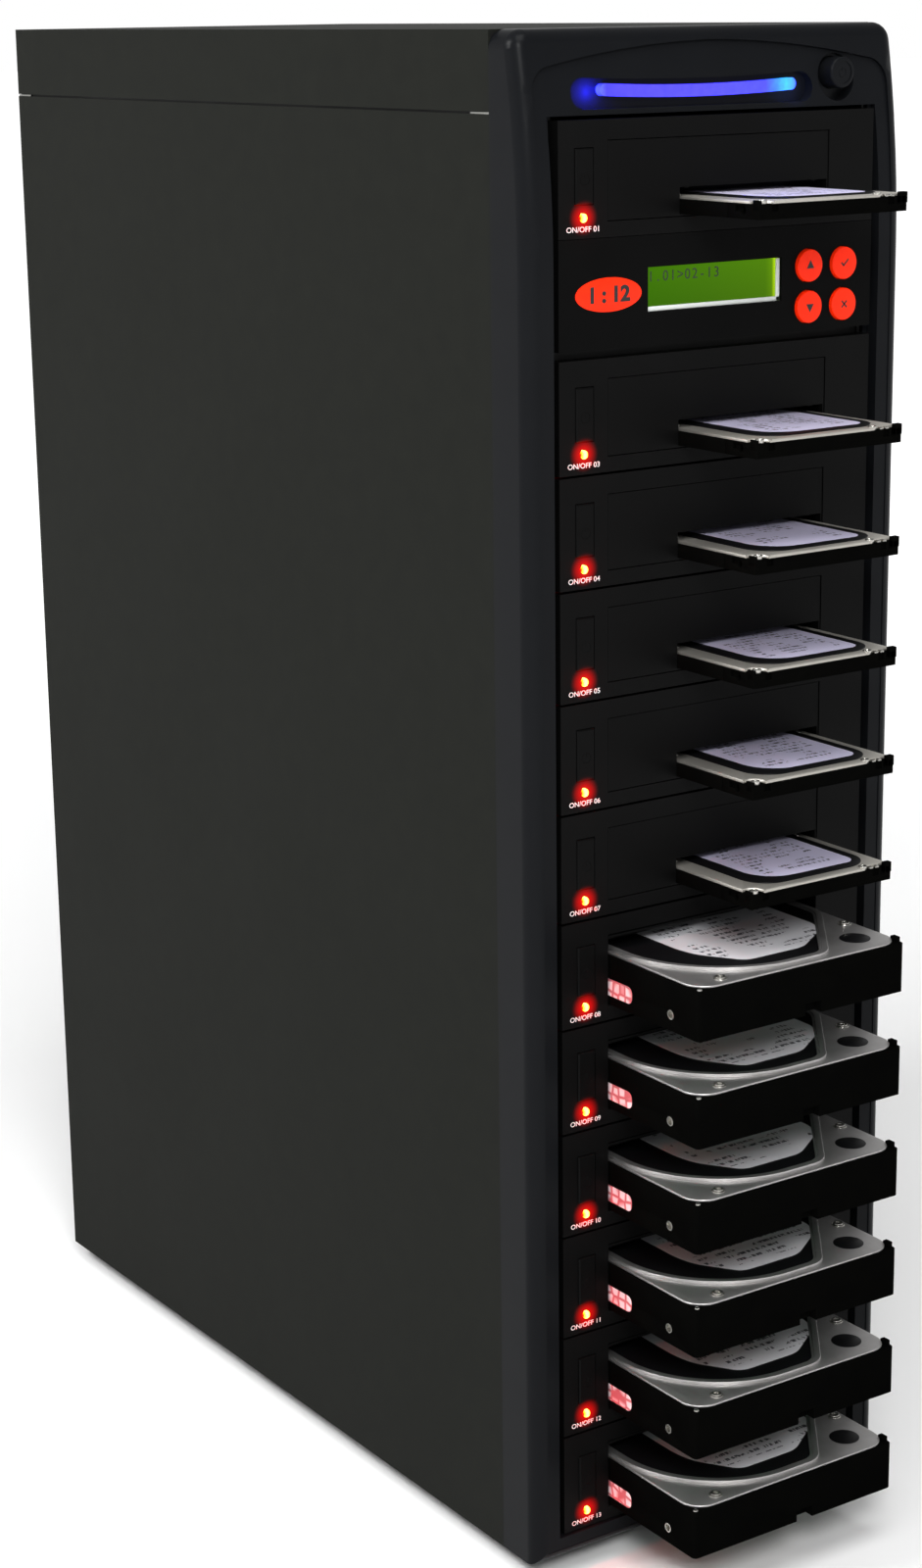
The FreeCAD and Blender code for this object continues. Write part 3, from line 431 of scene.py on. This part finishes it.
def display_glow():
    """Back-lit liquid crystal: yellow-green, with a bright edge at the right where its diodes sit."""
    material, tree, shader = surface("lcd_backlit_green", "050a01", 0.3, Specular_IOR_Level=0.03)
    (left, bottom), (right, top) = DISPLAY
    place = axes_of(tree)
    colour = ramp(tree, span(tree, place["X"], left * MM, right * MM),
                  (0, "3a7000"), (0.5, "427404"), (0.93, "4a7a04"), (0.98, "5c8c04"), (1, "a4d010"))
    shine(tree, shader, colour, 1.0, span(tree, place["Z"], bottom * MM, top * MM, 0.9, 1.15))
    return material


def cast_black():
    """Black electro-coated die-cast aluminium: smooth, dull, faint casting flow."""
    material, tree, shader = surface("coated_casting_black", "040403", 0.3, Specular_IOR_Level=0.0)
    vary(tree, shader, "040404", "070706", 12)
    grain(tree, shader, 0.6, 0.02, 0.3, 0.45)
    return material


def brushed_cover():
    """Stamped stainless cover with a fine satin brushing along the drive."""
    material, tree, shader = surface("stainless_satin", "c4c2c0", 0.4, Metallic=1.0)
    stretched = add(tree, "ShaderNodeMapping", {}, {"Vector": place_of(tree), "Scale": (2500, 60, 2500)})
    lines = add(tree, "ShaderNodeTexNoise", {}, {"Vector": stretched.outputs["Vector"], "Scale": 1.0,
                                                 "Detail": 2.0}).outputs["Fac"]
    tree.links.new(span(tree, lines, 0.0, 1.0, 0.36, 0.55), shader.inputs["Roughness"])
    emboss(tree, shader, lines, 0.1, 0.02)
    vary(tree, shader, "bab8b6", "cecccc", 6)
    return material


def plain_metal(name, base, rough):
    """Bright turned or plated metal, slightly uneven in its gloss."""
    material, tree, shader = surface(name, base, rough, Metallic=1.0)
    grain(tree, shader, 0.5, 0.01, rough, rough + 0.12)
    return material


def printed_label(name, low, high, row, paper="d4d4d8"):
    """Coated white paper label with rows of small grey print between two corners, a row apart."""
    material, tree, shader = surface(name, paper, 0.45)
    place = axes_of(tree)
    line = calc(tree, "FRACT", calc(tree, "MULTIPLY", place["Y"], 1 / (row * MM)))
    fine = add(tree, "ShaderNodeMapping", {}, {"Vector": place_of(tree),
                                               "Scale": (1 / (0.9 * MM), 1 / (row * MM), 1)})
    letters = add(tree, "ShaderNodeTexNoise", {}, {"Vector": fine.outputs["Vector"], "Scale": 1.0,
                                                   "Detail": 1.0})
    inked = calc(tree, "GREATER_THAN", letters.outputs["Fac"], 0.5)
    written = calc(tree, "GREATER_THAN", noise(tree, 11, 0.0), 0.47)
    ink = calc(tree, "MULTIPLY", calc(tree, "LESS_THAN", line, 0.45), inked)
    ink = calc(tree, "MULTIPLY", ink, written)
    for axis, near, far in (("X", low[0], high[0]), ("Y", low[1], high[1])):
        aside = calc(tree, "ABSOLUTE", calc(tree, "SUBTRACT", place[axis], (near + far) / 2 * MM))
        inside = calc(tree, "LESS_THAN", aside, ((far - near) / 2 - PRINT_MARGIN) * MM)
        ink = calc(tree, "MULTIPLY", ink, inside)
    tree.links.new(mix(tree, ink, paper, "404046"), shader.inputs["Base Color"])
    return material


def scale_sticker():
    """Glossy sticker with round pale marks; its pink ground and red lines are painted red light from the
    status lamp beside it.
    """
    material, tree, shader = surface("sticker_painted_red_glow", "e4c8cc", 0.35)
    marks = add(tree, "ShaderNodeTexVoronoi", {"feature": "DISTANCE_TO_EDGE"},
                {"Vector": place_of(tree), "Scale": 1 / (4.2 * MM), "Randomness": 0.35})
    band = span(tree, marks.outputs["Distance"], 0.08, 0.2)
    # Painted red light: the pink and red stand in for the status lamp's glow on a white sticker.
    tree.links.new(mix(tree, band, "b8646c", "ecdce0"), shader.inputs["Base Color"])
    return material


def key_red_painted_glow():
    """Orange-red moulded keys with a fine satin skin, deeply saturated, with a painted orange glow although
    no lamp is in them.
    """
    material, tree, shader = surface("moulded_key_orange_painted_glow", "dc2000", 0.45, Emission_Strength=0.25,
                                     Specular_IOR_Level=0.15)
    # Painted glow: the keys give orange light of their own.
    shader.inputs["Emission Color"].default_value = srgb("ff2c02")
    vary(tree, shader, "d41c00", "e62602", 3)
    grain(tree, shader, 0.5, 0.02, 0.42, 0.5)
    return material


def flat_ink(name, code, rough=0.5):
    """Screen-printed ink, with a slightly broken surface."""
    material, tree, shader = surface(name, code, rough)
    grain(tree, shader, 0.3, 0.01, rough, rough + 0.1)
    return material


def circuit_board():
    """Green solder mask over copper tracks."""
    material, tree, shader = surface("solder_mask_green", "0d3a24", 0.35)
    tracks = add(tree, "ShaderNodeTexBrick", {}, {"Vector": place_of(tree), "Scale": 1 / (8 * MM),
                                                  "Color1": srgb("0d3a24"), "Color2": srgb("0b3320"),
                                                  "Mortar": srgb("2c6b44"), "Mortar Size": 0.02})
    tree.links.new(tracks.outputs["Color"], shader.inputs["Base Color"])
    return material


def galvanised():
    """Zinc-coated sheet steel with its crystal spangle."""
    material, tree, shader = surface("galvanised_steel", "8f9192", 0.4, Metallic=1.0)
    flakes = add(tree, "ShaderNodeTexVoronoi", {}, {"Vector": place_of(tree), "Scale": 1 / (6 * MM)})
    tree.links.new(mix(tree, flakes.outputs["Color"], "7d8082", "a4a6a6"), shader.inputs["Base Color"])
    return material


def rubber():
    """Black moulded rubber, dusty and matt."""
    material, tree, shader = surface("rubber_black", "161616", 0.8)
    grain(tree, shader, 0.8, 0.05, 0.7, 0.9)
    return material


PAINT = powder_coat()
CHASSIS = black_steel()
BEZEL = moulded_abs("abs_bezel", "0e0f11", "111214", 0.28, 0.34, 0.05)
RACK = rack_abs()
PANEL = moulded_abs("abs_panel", "060606", "090909", 0.4, 0.46, 0.025)
NYLON = moulded_abs("nylon_fan", "101010", "181818", 0.5, 0.65, 0.3)
LENS = lit_lens()
BAR = lit_bar()
GLOW = display_glow()
CASTING = cast_black()
COVER = brushed_cover()
BRIGHT_COVER = plain_metal("bright_aluminium", "d8d4cc", 0.45)
PLATED = plain_metal("nickel_plated_steel", "b8b6b0", 0.25)
FOIL = moulded_abs("foil_black", "0a0a0b", "101012", 0.35, 0.42, 0.15)
KEY = key_red_painted_glow()
WHITE_INK = flat_ink("ink_white", "d4d4d4")
BLACK_INK = flat_ink("ink_black", "0a0a0a")
BOARD = circuit_board()
ZINC = galvanised()
RUBBER = rubber()
LCD_INK = flat_ink("lcd_segment", "0c2002")
BRIGHT_FRAME = flat_ink("lcd_frame_white", "c8ccc8")
SIDE_LABEL = scale_sticker()
BARE_STEEL = plain_metal("bare_steel_edge", "8c8c88", 0.4)

CAD_FINISH = {
    "front_bezel": BEZEL, "light_bar": BAR, "power_button": BEZEL,
    "top_cover": PAINT, "left_side_panel": PAINT, "right_side_panel": PAINT, "chassis": CHASSIS,
    "rack_bezels": RACK, "rack_cages": RACK, "rack_doors": RACK, "rack_boards": BOARD, "status_lenses": LENS,
    "control_panel": PANEL, "lcd_display": GLOW, "controller_board": BOARD,
    "power_supply": ZINC, "power_switch": NYLON, "fan_frame": NYLON, "fan_rotor": NYLON, "feet": RUBBER,
}


def finish_cad_nodes():
    """Give each CAD node that stays in view its finish."""
    for name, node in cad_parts.items():
        material = CAD_FINISH.get(name)
        if name.startswith(("rack_button", "slot_flap", "folding_door")):
            material = RACK
        if name.startswith("key_"):
            material = KEY
        if name.startswith(("large_drive", "small_drive")):
            material = CASTING
        node.data.materials.clear()
        node.data.materials.append(material)


# ---------------------------------------------------------------- 3.5 inch drives

def large_drive_parts():
    """The drive of the lowest bay as named parts with their materials."""
    low, high = box("large_drive_13")
    left, right, front, back, floor, top = low.x, high.x, low.y, high.y, low.z, high.z
    rim_z, cover_z = top - 2.4, top - 1.4
    parts = {}

    base = block("large_base", (left, front, floor), (right, back, rim_z))
    round_edges(base, 1.8, 3, lambda e: upright(e, 10) and e.verts[0].co.y < (front + 1) * MM)
    notch = block("notch", (1, front - 1, floor - 1), (9, front + 4, floor + 4.6))
    holes = [rod("hole", (side, front + along, floor + 6.35), (way, 0, 0), 1.9, 4)
             for side, way in ((left - 0.5, 1), (right + 0.5, -1)) for along in (16.9, 76.9, 118.5)]
    belly = block("belly", (left + 6, front + 24, floor - 1), (right - 6, back - 4, floor + 1.6))
    socket = block("socket", (left + 46.4, back - 5, floor + 3.1), (left + 89.2, back + 1, floor + 7.9))
    cut(base, notch, *holes, belly, socket)
    soft_edges(base, 0.35)
    parts["base"] = (base, CASTING)

    post = block("ear", (right - 2.2, front + 2.5, top - 3), (right, front + 6, top - 0.4))
    soft_edges(post, 0.3)
    parts["ear"] = (post, CASTING)

    cover = block("large_cover", (left + 0.8, front + 0.9, rim_z), (right - 0.8, back - 8, cover_z))
    round_edges(cover, 9, 10, lambda e: upright(e, 0.5))
    soft_edges(cover, 0.35, 3)
    parts["cover"] = (cover, COVER)

    ridge = block("large_ridge", (left + 1.6, front + 3.6, cover_z), (right - 2.6, back - 12, top - 0.1))
    trim(ridge, (15.5, front + 3.6, 0), (0.79, -0.61, 0))
    round_edges(ridge, 47, 30, lambda e: upright(e, 0.5) and e.verts[0].co.x < (left + 3) * MM
                and e.verts[0].co.y < (front + 5) * MM)
    round_edges(ridge, 5, 6, lambda e: upright(e, 0.5) and e.verts[0].co.x > 10 * MM)
    sink(ridge, lambda f: f.normal.z > 0.9, 2.6, 0.35)
    sink(ridge, lambda f: f.normal.z > 0.9 and f.calc_area() > 400 * MM ** 2, 0.9, 0.4)
    soft_edges(ridge, 0.5, 4)
    field_z = top - 0.6
    paint(ridge, COVER, FOIL, lambda f: f.normal.z > 0.9 and f.center.z < field_z * MM)
    parts["ridge"] = (ridge, COVER)

    label_low, label_high = (-28, front + 16), (35.5, front + 104)
    label = block("large_label", (*label_low, top - 0.86), (*label_high, top - 0.76))
    for place, towards in (((-15.2, 16.5), (-0.83, -0.56)), ((-26, 32.3), (-0.97, -0.2)),
                           ((13.5, 16), (0.55, -0.83)), ((31.2, 27.5), (0.87, -0.5))):
        trim(label, (place[0], front + place[1], 0), (*towards, 0))
    round_edges(label, 3.5, 4, lambda e: upright(e, 0.05))
    parts["label"] = (label, printed_label("paper_label_large", label_low, label_high, 4.4))

    disc = rod("breather", (37.3, front + 13.6, cover_z), UP, 6.1, 0.14, 40)
    soft_edges(disc, 0.05)
    parts["breather"] = (disc, FOIL)

    fittings = []
    for x, along in ((-35.5, 6.4), (46.2, 30), (-46.5, 128), (46.2, 128)):
        head = rod("screw", (x, front + along, cover_z), UP, 2.1, 0.9)
        cut(head, rod("socket", (x, front + along, cover_z + 0.35), UP, 1.0, 2, 12))
        soft_edges(head, 0.15)
        fittings += [head, ring("washer", (x, front + along, cover_z + 0.1), UP, 2.5, 0.25)]
    for side, way in ((left, 1), (right, -1)):
        for along in (16.9, 76.9, 118.5):
            insert = rod("insert", (side + 0.02 * way, front + along, floor + 6.35), (way, 0, 0), 1.9, 2.4)
            sink(insert, lambda f: f.normal.x * way < -0.9, 0.55, 1.6)
            fittings.append(insert)
    peg = rod("peg", (left + 1.7, front + 1.7, rim_z - 0.4), UP, 1.0, 1.1, 20)
    soft_edges(peg, 0.3)
    fittings.append(peg)
    parts["screws"] = (join("large_screws", fittings), PLATED)

    sticker = block("side_label", (left - 0.04, front + 40.5, floor + 3.6),
                    (left + 0.06, front + 72, floor + 10.4))
    round_edges(sticker, 2.6, 5, lambda e: rim(e, "y", front + 40.5)
                and abs((e.verts[0].co - e.verts[1].co).x) > 0)
    parts["side_label"] = (sticker, SIDE_LABEL)

    board = block("large_board", (left + 6.4, front + 24.4, floor + 0.4),
                  (right - 6.4, back - 4.4, floor + 1.5))
    soft_edges(board, 0.1)
    chips = [block("chip", (x, front + y, floor + 0.05), (x + wide, front + y + long, floor + 0.5))
             for x, y, wide, long in ((-20, 60, 18, 18), (8, 70, 10, 14), (-30, 100, 9, 9), (10, 104, 20, 8))]
    parts["board"] = (board, BOARD)
    parts["chips"] = (join("large_chips", chips), BLACK_INK)
    return parts


def small_drive_parts():
    """The 2.5 inch drive of bay 7 as named parts with their materials."""
    low, high = box("small_drive_07")
    left, right, front, back, floor, top = low.x, high.x, low.y, high.y, low.z, high.z
    step = floor + 5.4
    parts = {}

    base = block("small_base", (left, front, floor), (right, back, step))
    round_edges(base, 0.9, 2, lambda e: upright(e, 3) and e.verts[0].co.y < (front + 1) * MM)
    cutters = [block("pocket", (x, front - 1, floor + 2.7), (x + 3.1, front + 1.2, step - 0.3))
               for x in (left + 5.4, right - 9.4)]
    cutters.append(block("pocket", (left - 1, front + 8.4, floor + 2.6),
                         (left + 1.2, front + 13.9, step - 0.6)))
    cutters.append(block("step", (right - 5.6, front - 1, floor + 2.6), (right - 3.1, front + 2.6, step + 1)))
    cutters.append(block("groove", (left - 1, front + 18, floor - 1), (left + 0.15, front + 18.3, step + 1)))
    cutters += [rod("hole", (left - 0.5, back - along, floor + 3), (1, 0, 0), 1.5, 4) for along in (14, 90.6)]
    cut(base, *cutters)
    soft_edges(base, 0.18)
    ears = [block("ear", (right - 3.1, front, floor + 3), (right, front + 2.4, top)),
            block("ear", (left, front + 0.2, floor + 3), (left + 0.9, front + 4.2, top - 0.2))]
    for ear in ears:
        soft_edges(ear, 0.2)
    parts["base"] = (join("small_base", [base, *ears]), CASTING)

    cover = block("small_cover", (left + 0.5, front + 0.7, step), (right - 0.5, back - 6, step + 1.1))
    cut(cover, rod("notch", (left + 2.4, front + 2, step - 1), UP, 4.6, 4, 24),
        block("notch", (right - 13, front - 1, step - 1), (right + 1, front + 3.2, step + 3)))
    round_edges(cover, 0.7, 3, lambda e: rim(e, "z", step + 1.1) and e.calc_face_angle(0) > 1)
    smooth(cover)
    parts["cover"] = (cover, BRIGHT_COVER)

    heads = []
    for x, along, radius, tall in ((left + 2.9, 2.3, 1.7, 1.5), (right - 12.6, 2.6, 1.7, 1.5),
                                   (right - 4, 52, 1.3, 1.4), (left + 4, 52, 1.3, 1.4)):
        head = rod("head", (x, front + along, step), UP, radius, tall, 20)
        sink(head, lambda f: f.normal.z > 0.9, 0.6, 0.25)
        soft_edges(head, 0.2)
        heads.append(head)
    for x in (right - 10.4, right - 7.6):
        tab = block("tab", (x, front + 0.7, step - 0.2), (x + 1.9, front + 2.6, step + 0.8))
        soft_edges(tab, 0.3)
        heads.append(tab)
    parts["heads"] = (join("small_heads", heads), PLATED)

    raised = block("small_raised", (left + 8, front + 4.6, step + 1.1), (right - 5, back - 9, top - 0.1))
    round_edges(raised, 12, 12, lambda e: upright(e) and e.verts[0].co.y < (front + 6) * MM)
    soft_edges(raised, 0.3)
    parts["raised"] = (raised, FOIL)

    label_low, label_high = (left + 14.6, front + 9.6), (left + 60.4, front + 70)
    label = block("small_label", (*label_low, top - 0.1), (*label_high, top - 0.02))
    round_edges(label, 14, 10, lambda e: upright(e, 0.05) and rim(e, "y", front + 9.6)
                and e.verts[0].co.x < 0)
    round_edges(label, 5, 6, lambda e: upright(e, 0.05) and rim(e, "y", front + 9.6))
    parts["label"] = (label, printed_label("paper_label_small", label_low, label_high, 3.6, "c6c2dc"))
    return parts


def fit_drives(kind, bays, parts, home):
    """Put a copy of every part of a drive in each bay, riding with that bay's drive."""
    for bay in bays:
        body = f"{kind}_drive_{bay:02d}"
        lift = (0, 0, BAY_PITCH * (home - bay))
        for part, (piece, material) in parts.items():
            twin = copy_to(piece, f"{kind}_drive_{part}_{bay:02d}", lift)
            dress(twin, material, body)
            if part == "base":
                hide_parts(body)
    for piece, _ in parts.values():
        bpy.data.objects.remove(piece)


# ---------------------------------------------------------------- marks on the front

def power_sign(name, middle, radius, wire):
    """The open ring and the stroke of a power sign, raised from a face that looks forward."""
    sign = ring(name, middle, (0, 1, 0), radius, wire, 40, 6)
    cut(sign, block("gap", (middle[0] - radius * 0.35, middle[1] - 1, middle[2]),
                    (middle[0] + radius * 0.35, middle[1] + 1, middle[2] + radius * 2)))
    stroke = rod("stroke", (middle[0], middle[1], middle[2] + radius * 0.25), UP, wire, radius * 0.95, 8)
    piece = join(name, [sign, stroke])
    smooth(piece)
    return piece


def rack_marks():
    """Domed status lights, the line of figures under each and the power sign on each rack button."""
    domes = []
    for bay in RACK_BAYS:
        low, high = box(f"rack_button_{bay:02d}")
        spot = lamp_place(bay)
        dome = rod("dome", spot + Vector((0, 5, 0)), FORWARD, LAMP_RADIUS, 5 + LAMP_PROUD, 24)
        round_edges(dome, 0.9, 4, lambda e: rim(e, "y", spot.y - LAMP_PROUD))
        smooth(dome, 60)
        domes.append(dome)
        figures = lettering(f"bay_number_{bay:02d}", f"ON/OFF {bay:02d}",
                            (LAMP_X, spot.y - 0.02, spot.z - 4.1), 1.9, 14.4, bold=0.02)
        dress(figures, WHITE_INK, "case")
        sign = power_sign(f"button_sign_{bay:02d}", ((low.x + high.x) / 2, low.y + 0.02, low.z + 10.2),
                          2.0, 0.16)
        dress(sign, RACK, f"rack_button_{bay:02d}")
    lights = dress(join("status_domes", domes), LENS, "case")
    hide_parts("status_lenses")


def round_cap(node, radius, crown, depth):
    """A round key or button that replaces a CAD node: soft rim, slightly dished face, square collar."""
    low, high = box(node)
    middle = (low + high) / 2
    collar = block("collar", (low.x, high.y - 1, low.z), high)
    cap = rod(f"{node}_cap", (middle.x, high.y - 0.9, middle.z), FORWARD, radius, high.y - 0.9 - low.y, 48)
    round_edges(cap, crown, 5, lambda e: rim(e, "y", low.y))
    if depth:
        sink(cap, lambda f: f.normal.y < -0.99, radius * 0.12, depth)
    piece = join(f"{node}_cap", [cap, collar])
    smooth(piece, 50)
    return piece, Vector((middle.x, low.y + depth, middle.z))


def power_cap():
    """The dished power button with its sign."""
    cap, face = round_cap("power_button", POWER_BUTTON_RADIUS, 0.9, 0.35)
    dress(cap, BEZEL, "power_button")
    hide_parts("power_button")
    sign = power_sign("power_sign", tuple(face), 1.7, 0.22)
    dress(sign, BEZEL, "power_button")


def key_caps():
    """The four orange keys, with an arrow up, an arrow down, a tick and a cross."""
    for name in ("key_up", "key_down", "key_enter", "key_escape"):
        cap, face = round_cap(name, KEY_RADIUS, 0.5, 0)
        dress(cap, KEY, name)
        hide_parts(name)
    for name, turn in (("key_up", 0), ("key_down", math.pi)):
        low, high = box(name)
        middle = (low + high) / 2
        arrow = rod(f"{name}_arrow", (0, 0, 0), FORWARD, 2.1, 0.06, 3)
        tip = max((vert.co for vert in arrow.data.vertices), key=lambda place: abs(place.z)).z
        arrow.data.transform(Matrix.Translation(Vector((middle.x, low.y, middle.z)) * MM)
                             @ Matrix.Rotation(turn + (math.pi if tip < 0 else 0), 4, "Y"))
        dress(arrow, BLACK_INK, name)
    for name, strokes in (("key_enter", ((-1.1, -0.4, 45, 1.8), (0.5, 0.2, -45, 3.4))),
                          ("key_escape", ((0, 0, 45, 3.6), (0, 0, -45, 3.6)))):
        low, high = box(name)
        middle = (low + high) / 2
        bars = []
        for x, z, turn, long in strokes:
            bar = block("stroke", (-long / 2, -0.05, -0.32), (long / 2, 0.1, 0.32))
            bar.data.transform(Matrix.Translation(Vector((middle.x + x, low.y, middle.z + z)) * MM)
                               @ Matrix.Rotation(math.radians(turn), 4, "Y"))
            bars.append(bar)
        dress(join(f"{name}_sign", bars), BLACK_INK, name)


def panel_marks():
    """The oval on the panel, and the display's white frame and figures."""
    face = box("control_panel")[0].y
    oval = rod("panel_oval", (0, 0, 0), FORWARD, 1, 0.3, 64)
    oval.data.transform(Matrix.Translation(Vector((-51.8, face, 507.5)) * MM)
                        @ Matrix.Diagonal((15, 1, 6.2, 1)))
    soft_edges(oval, 0.12)
    # The oval takes the keys' material, painted orange glow included.
    dress(oval, KEY, "case")
    ratio = lettering("oval_figures", "1 : 12", (-51.8, face - 0.32, 507.3), 5.4, 18, bold=0.35)
    dress(ratio, BLACK_INK, "case")

    glass = face + 1.36
    (left, low), (right, high) = DISPLAY
    strips = [block("strip", (right + 0.5, glass - 0.5, low - 1.8), (right + 2.2, glass + 0.2, high)),
              block("strip", (left - 1, glass - 0.5, low - 1.8), (right + 2.2, glass + 0.2, low - 0.1))]
    for strip in strips:
        soft_edges(strip, 0.15)
    dress(join("display_frame", strips), BRIGHT_FRAME, "case")
    text, pitch, tall = "1.01>02-13", 3.42, 3.8
    figures = [lettering("figure", sign, (left + 2 + pitch * place, glass, high - 1.5 - tall / 2), tall)
               for place, sign in enumerate(text)]
    dress(join("display_figures", figures), LCD_INK, "case")


# ---------------------------------------------------------------- case fittings

def rubber_feet():
    """Round feet, each with a soft foot ring and a sunk screw seat, in place of the CAD ones."""
    low, high = box("feet")
    feet = []
    for x in (low.x + FOOT_RADIUS - 0.3, high.x - FOOT_RADIUS + 0.3):
        for y in (low.y + FOOT_RADIUS - 0.3, high.y - FOOT_RADIUS + 0.3):
            foot = rod("foot", (x, y, high.z), (0, 0, -1), FOOT_RADIUS - 0.4, high.z - low.z, 48)
            sink(foot, lambda f: f.normal.z < -0.9, 3, 2.2)
            sink(foot, lambda f: f.normal.z < -0.9 and f.calc_center_median().z > 1 * MM, 5.5, 2)
            round_edges(foot, 0.9, 3, lambda e: rim(e, "z", low.z))
            smooth(foot)
            feet.append(foot)
    piece = dress(join("rubber_feet", feet), RUBBER, "case")
    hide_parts("feet")


def rear_screws():
    """Flat hexagon-head screws with a cross slot, along the back of the case and round the power supply."""
    back = box("chassis")[1].y
    psu_low, psu_high = box("power_supply")
    places = [(side * 83, height) for side in (-1, 1) for height in (70, 200, 330, 460, 556)]
    places += [(psu_low.x + 5, psu_low.z + 5), (psu_high.x - 5, psu_low.z + 5),
               (psu_low.x + 5, psu_high.z - 5), (psu_high.x - 5, psu_high.z - 5)]
    fan_low, fan_high = box("fan_frame")
    places += [(x, z) for x in (fan_low.x + 7.5, fan_high.x - 7.5)
               for z in (fan_low.z + 7.5, fan_high.z - 7.5)]
    screws = []
    for x, z in places:
        head = rod("screw", (x, back - 0.6, z), (0, 1, 0), 3.9, 1.4, 6)
        cut(head, block("slot", (x - 2.2, back + 0.35, z - 0.35), (x + 2.2, back + 2, z + 0.35)),
            block("slot", (x - 0.35, back + 0.35, z - 2.2), (x + 0.35, back + 2, z + 2.2)))
        soft_edges(head, 0.12)
        screws.append(head)
    dress(join("rear_screws", screws), PLATED, "case")


def bare_hems():
    """The bare steel ends of the side panels' hems, seen in the seam under the top cover."""
    panel_low, panel_high = box("left_side_panel")
    cover_low, cover_high = box("top_cover")
    hems = []
    for outer, way in ((cover_low.x, 1), (cover_high.x, -1)):
        for start, stop in ((panel_low.y + 0.4, panel_low.y + 12), (panel_high.y - 12, panel_high.y - 0.4)):
            inner = outer + 0.5 * way
            hem = block("hem", (min(outer + 0.15 * way, inner), start, panel_high.z + 0.05),
                        (max(outer + 0.15 * way, inner), stop, cover_low.z - 0.15))
            soft_edges(hem, 0.06)
            hems.append(hem)
    dress(join("bare_hems", hems), BARE_STEEL, "case")


# ---------------------------------------------------------------- studio

def studio():
    """Pale floor that glows far from the case, air bright at the horizon, and three wide lamps."""
    bpy.ops.object.select_all(action="DESELECT")
    bpy.ops.mesh.primitive_plane_add(size=60)
    floor = settle("studio_floor")
    material, tree, shader = surface("floor_white", "f4f4f4", 0.9, Specular_IOR_Level=0.1)
    shader.inputs["Emission Color"].default_value = (1, 1, 1, 1)
    away = add(tree, "ShaderNodeVectorMath", {"operation": "LENGTH"}, {0: place_of(tree)})
    tree.links.new(span(tree, away.outputs["Value"], 0.5, 2.2, 0.0, 0.85), shader.inputs["Emission Strength"])
    vary(tree, shader, "f2f2f2", "f6f6f6", 400)
    floor.data.materials.append(material)

    bpy.context.scene.view_settings.view_transform = "Standard"
    world = bpy.data.worlds.new("studio_air")
    bpy.context.scene.world = world
    world.use_nodes = True
    tree = world.node_tree
    sky = add(tree, "ShaderNodeTexCoord").outputs["Generated"]
    way = add(tree, "ShaderNodeSeparateXYZ", {}, {"Vector": sky})
    high_air = span(tree, way.outputs["Y"], -1.0, 0.3, 0.15, 0.4)
    glow = span(tree, way.outputs["Z"], 0.02, 0.35, 1.0, high_air)
    tree.links.new(glow, tree.nodes["Background"].inputs["Strength"])
    tree.nodes["Background"].inputs["Color"].default_value = (1, 1, 1, 1)
    for name, place, size, power in (("overhead", (-0.25, -0.75, 2.1), 1.1, 22),
                                     ("front_key", (-0.9, -1.6, 1.4), 0.6, 26),
                                     ("left_wash", (-1.1, 0.2, 1.25), 0.5, 16)):
        bpy.ops.object.select_all(action="DESELECT")
        bpy.ops.object.light_add(type="AREA", location=place)
        lamp = bpy.context.object
        lamp.name = name
        lamp.data.size = size
        lamp.data.energy = power
        lamp.rotation_euler = (Vector((0, 0, 0.3)) - Vector(place)).to_track_quat("-Z", "Y").to_euler()


def point_lamp(name, place, colour, power, radius=1.0):
    """A small bare lamp; its place and radius are in millimetres."""
    bpy.ops.object.light_add(type="POINT", location=Vector(place) * MM)
    lamp = bpy.context.object
    lamp.name = name
    lamp.data.color = colour
    lamp.data.energy = power
    lamp.data.shadow_soft_size = radius * MM
    lamp.visible_camera = lamp.visible_glossy = False


def status_glow():
    """The red light that each status lens and the blue light that the bar throw around them."""
    for bay in RACK_BAYS:
        point_lamp(f"red_glow_{bay:02d}", lamp_place(bay) + Vector((0, -2, 0)), (1, 0.01, 0.005), 0.006)
    low, high = box("light_bar")
    middle = (low.z + high.z) / 2
    point_lamp("blue_glow_left", (low.x - 4.5, low.y + 0.5, middle), (0.02, 0.02, 1), 0.07, 2)
    point_lamp("blue_glow_right", (high.x - 2, low.y - 2.5, middle - 3), (0.1, 0.2, 1), 0.004)


def camera():
    """Camera with a long lens, just above the case's top, looking down from the front left."""
    turn, tip, roll = 0.5924384598452189, 0.2564166419062748, -0.013574353400472056
    ahead = Vector((math.sin(turn) * math.cos(tip), math.cos(turn) * math.cos(tip), -math.sin(tip)))
    side = Vector((math.cos(turn), -math.sin(turn), 0))
    top = side.cross(ahead)
    across = side * math.cos(roll) + top * math.sin(roll)
    upward = top * math.cos(roll) - side * math.sin(roll)
    data = bpy.data.cameras.new("camera")
    data.lens = 68.4
    data.sensor_width = 36
    data.clip_start, data.clip_end = 0.05, 30
    view = bpy.data.objects.new("camera", data)
    view.matrix_world = Matrix.Translation((-0.705252, -1.043546, 0.610341)) @ Matrix(
        (across, upward, -ahead)).transposed().to_4x4()
    bpy.context.scene.collection.objects.link(view)
    bpy.context.scene.camera = view


finish_cad_nodes()
fit_drives("large", LARGE_BAYS, large_drive_parts(), 13)
fit_drives("small", SMALL_BAYS, small_drive_parts(), 7)
rack_marks()
power_cap()
key_caps()
panel_marks()
rubber_feet()
rear_screws()
bare_hems()
studio()
status_glow()
camera()
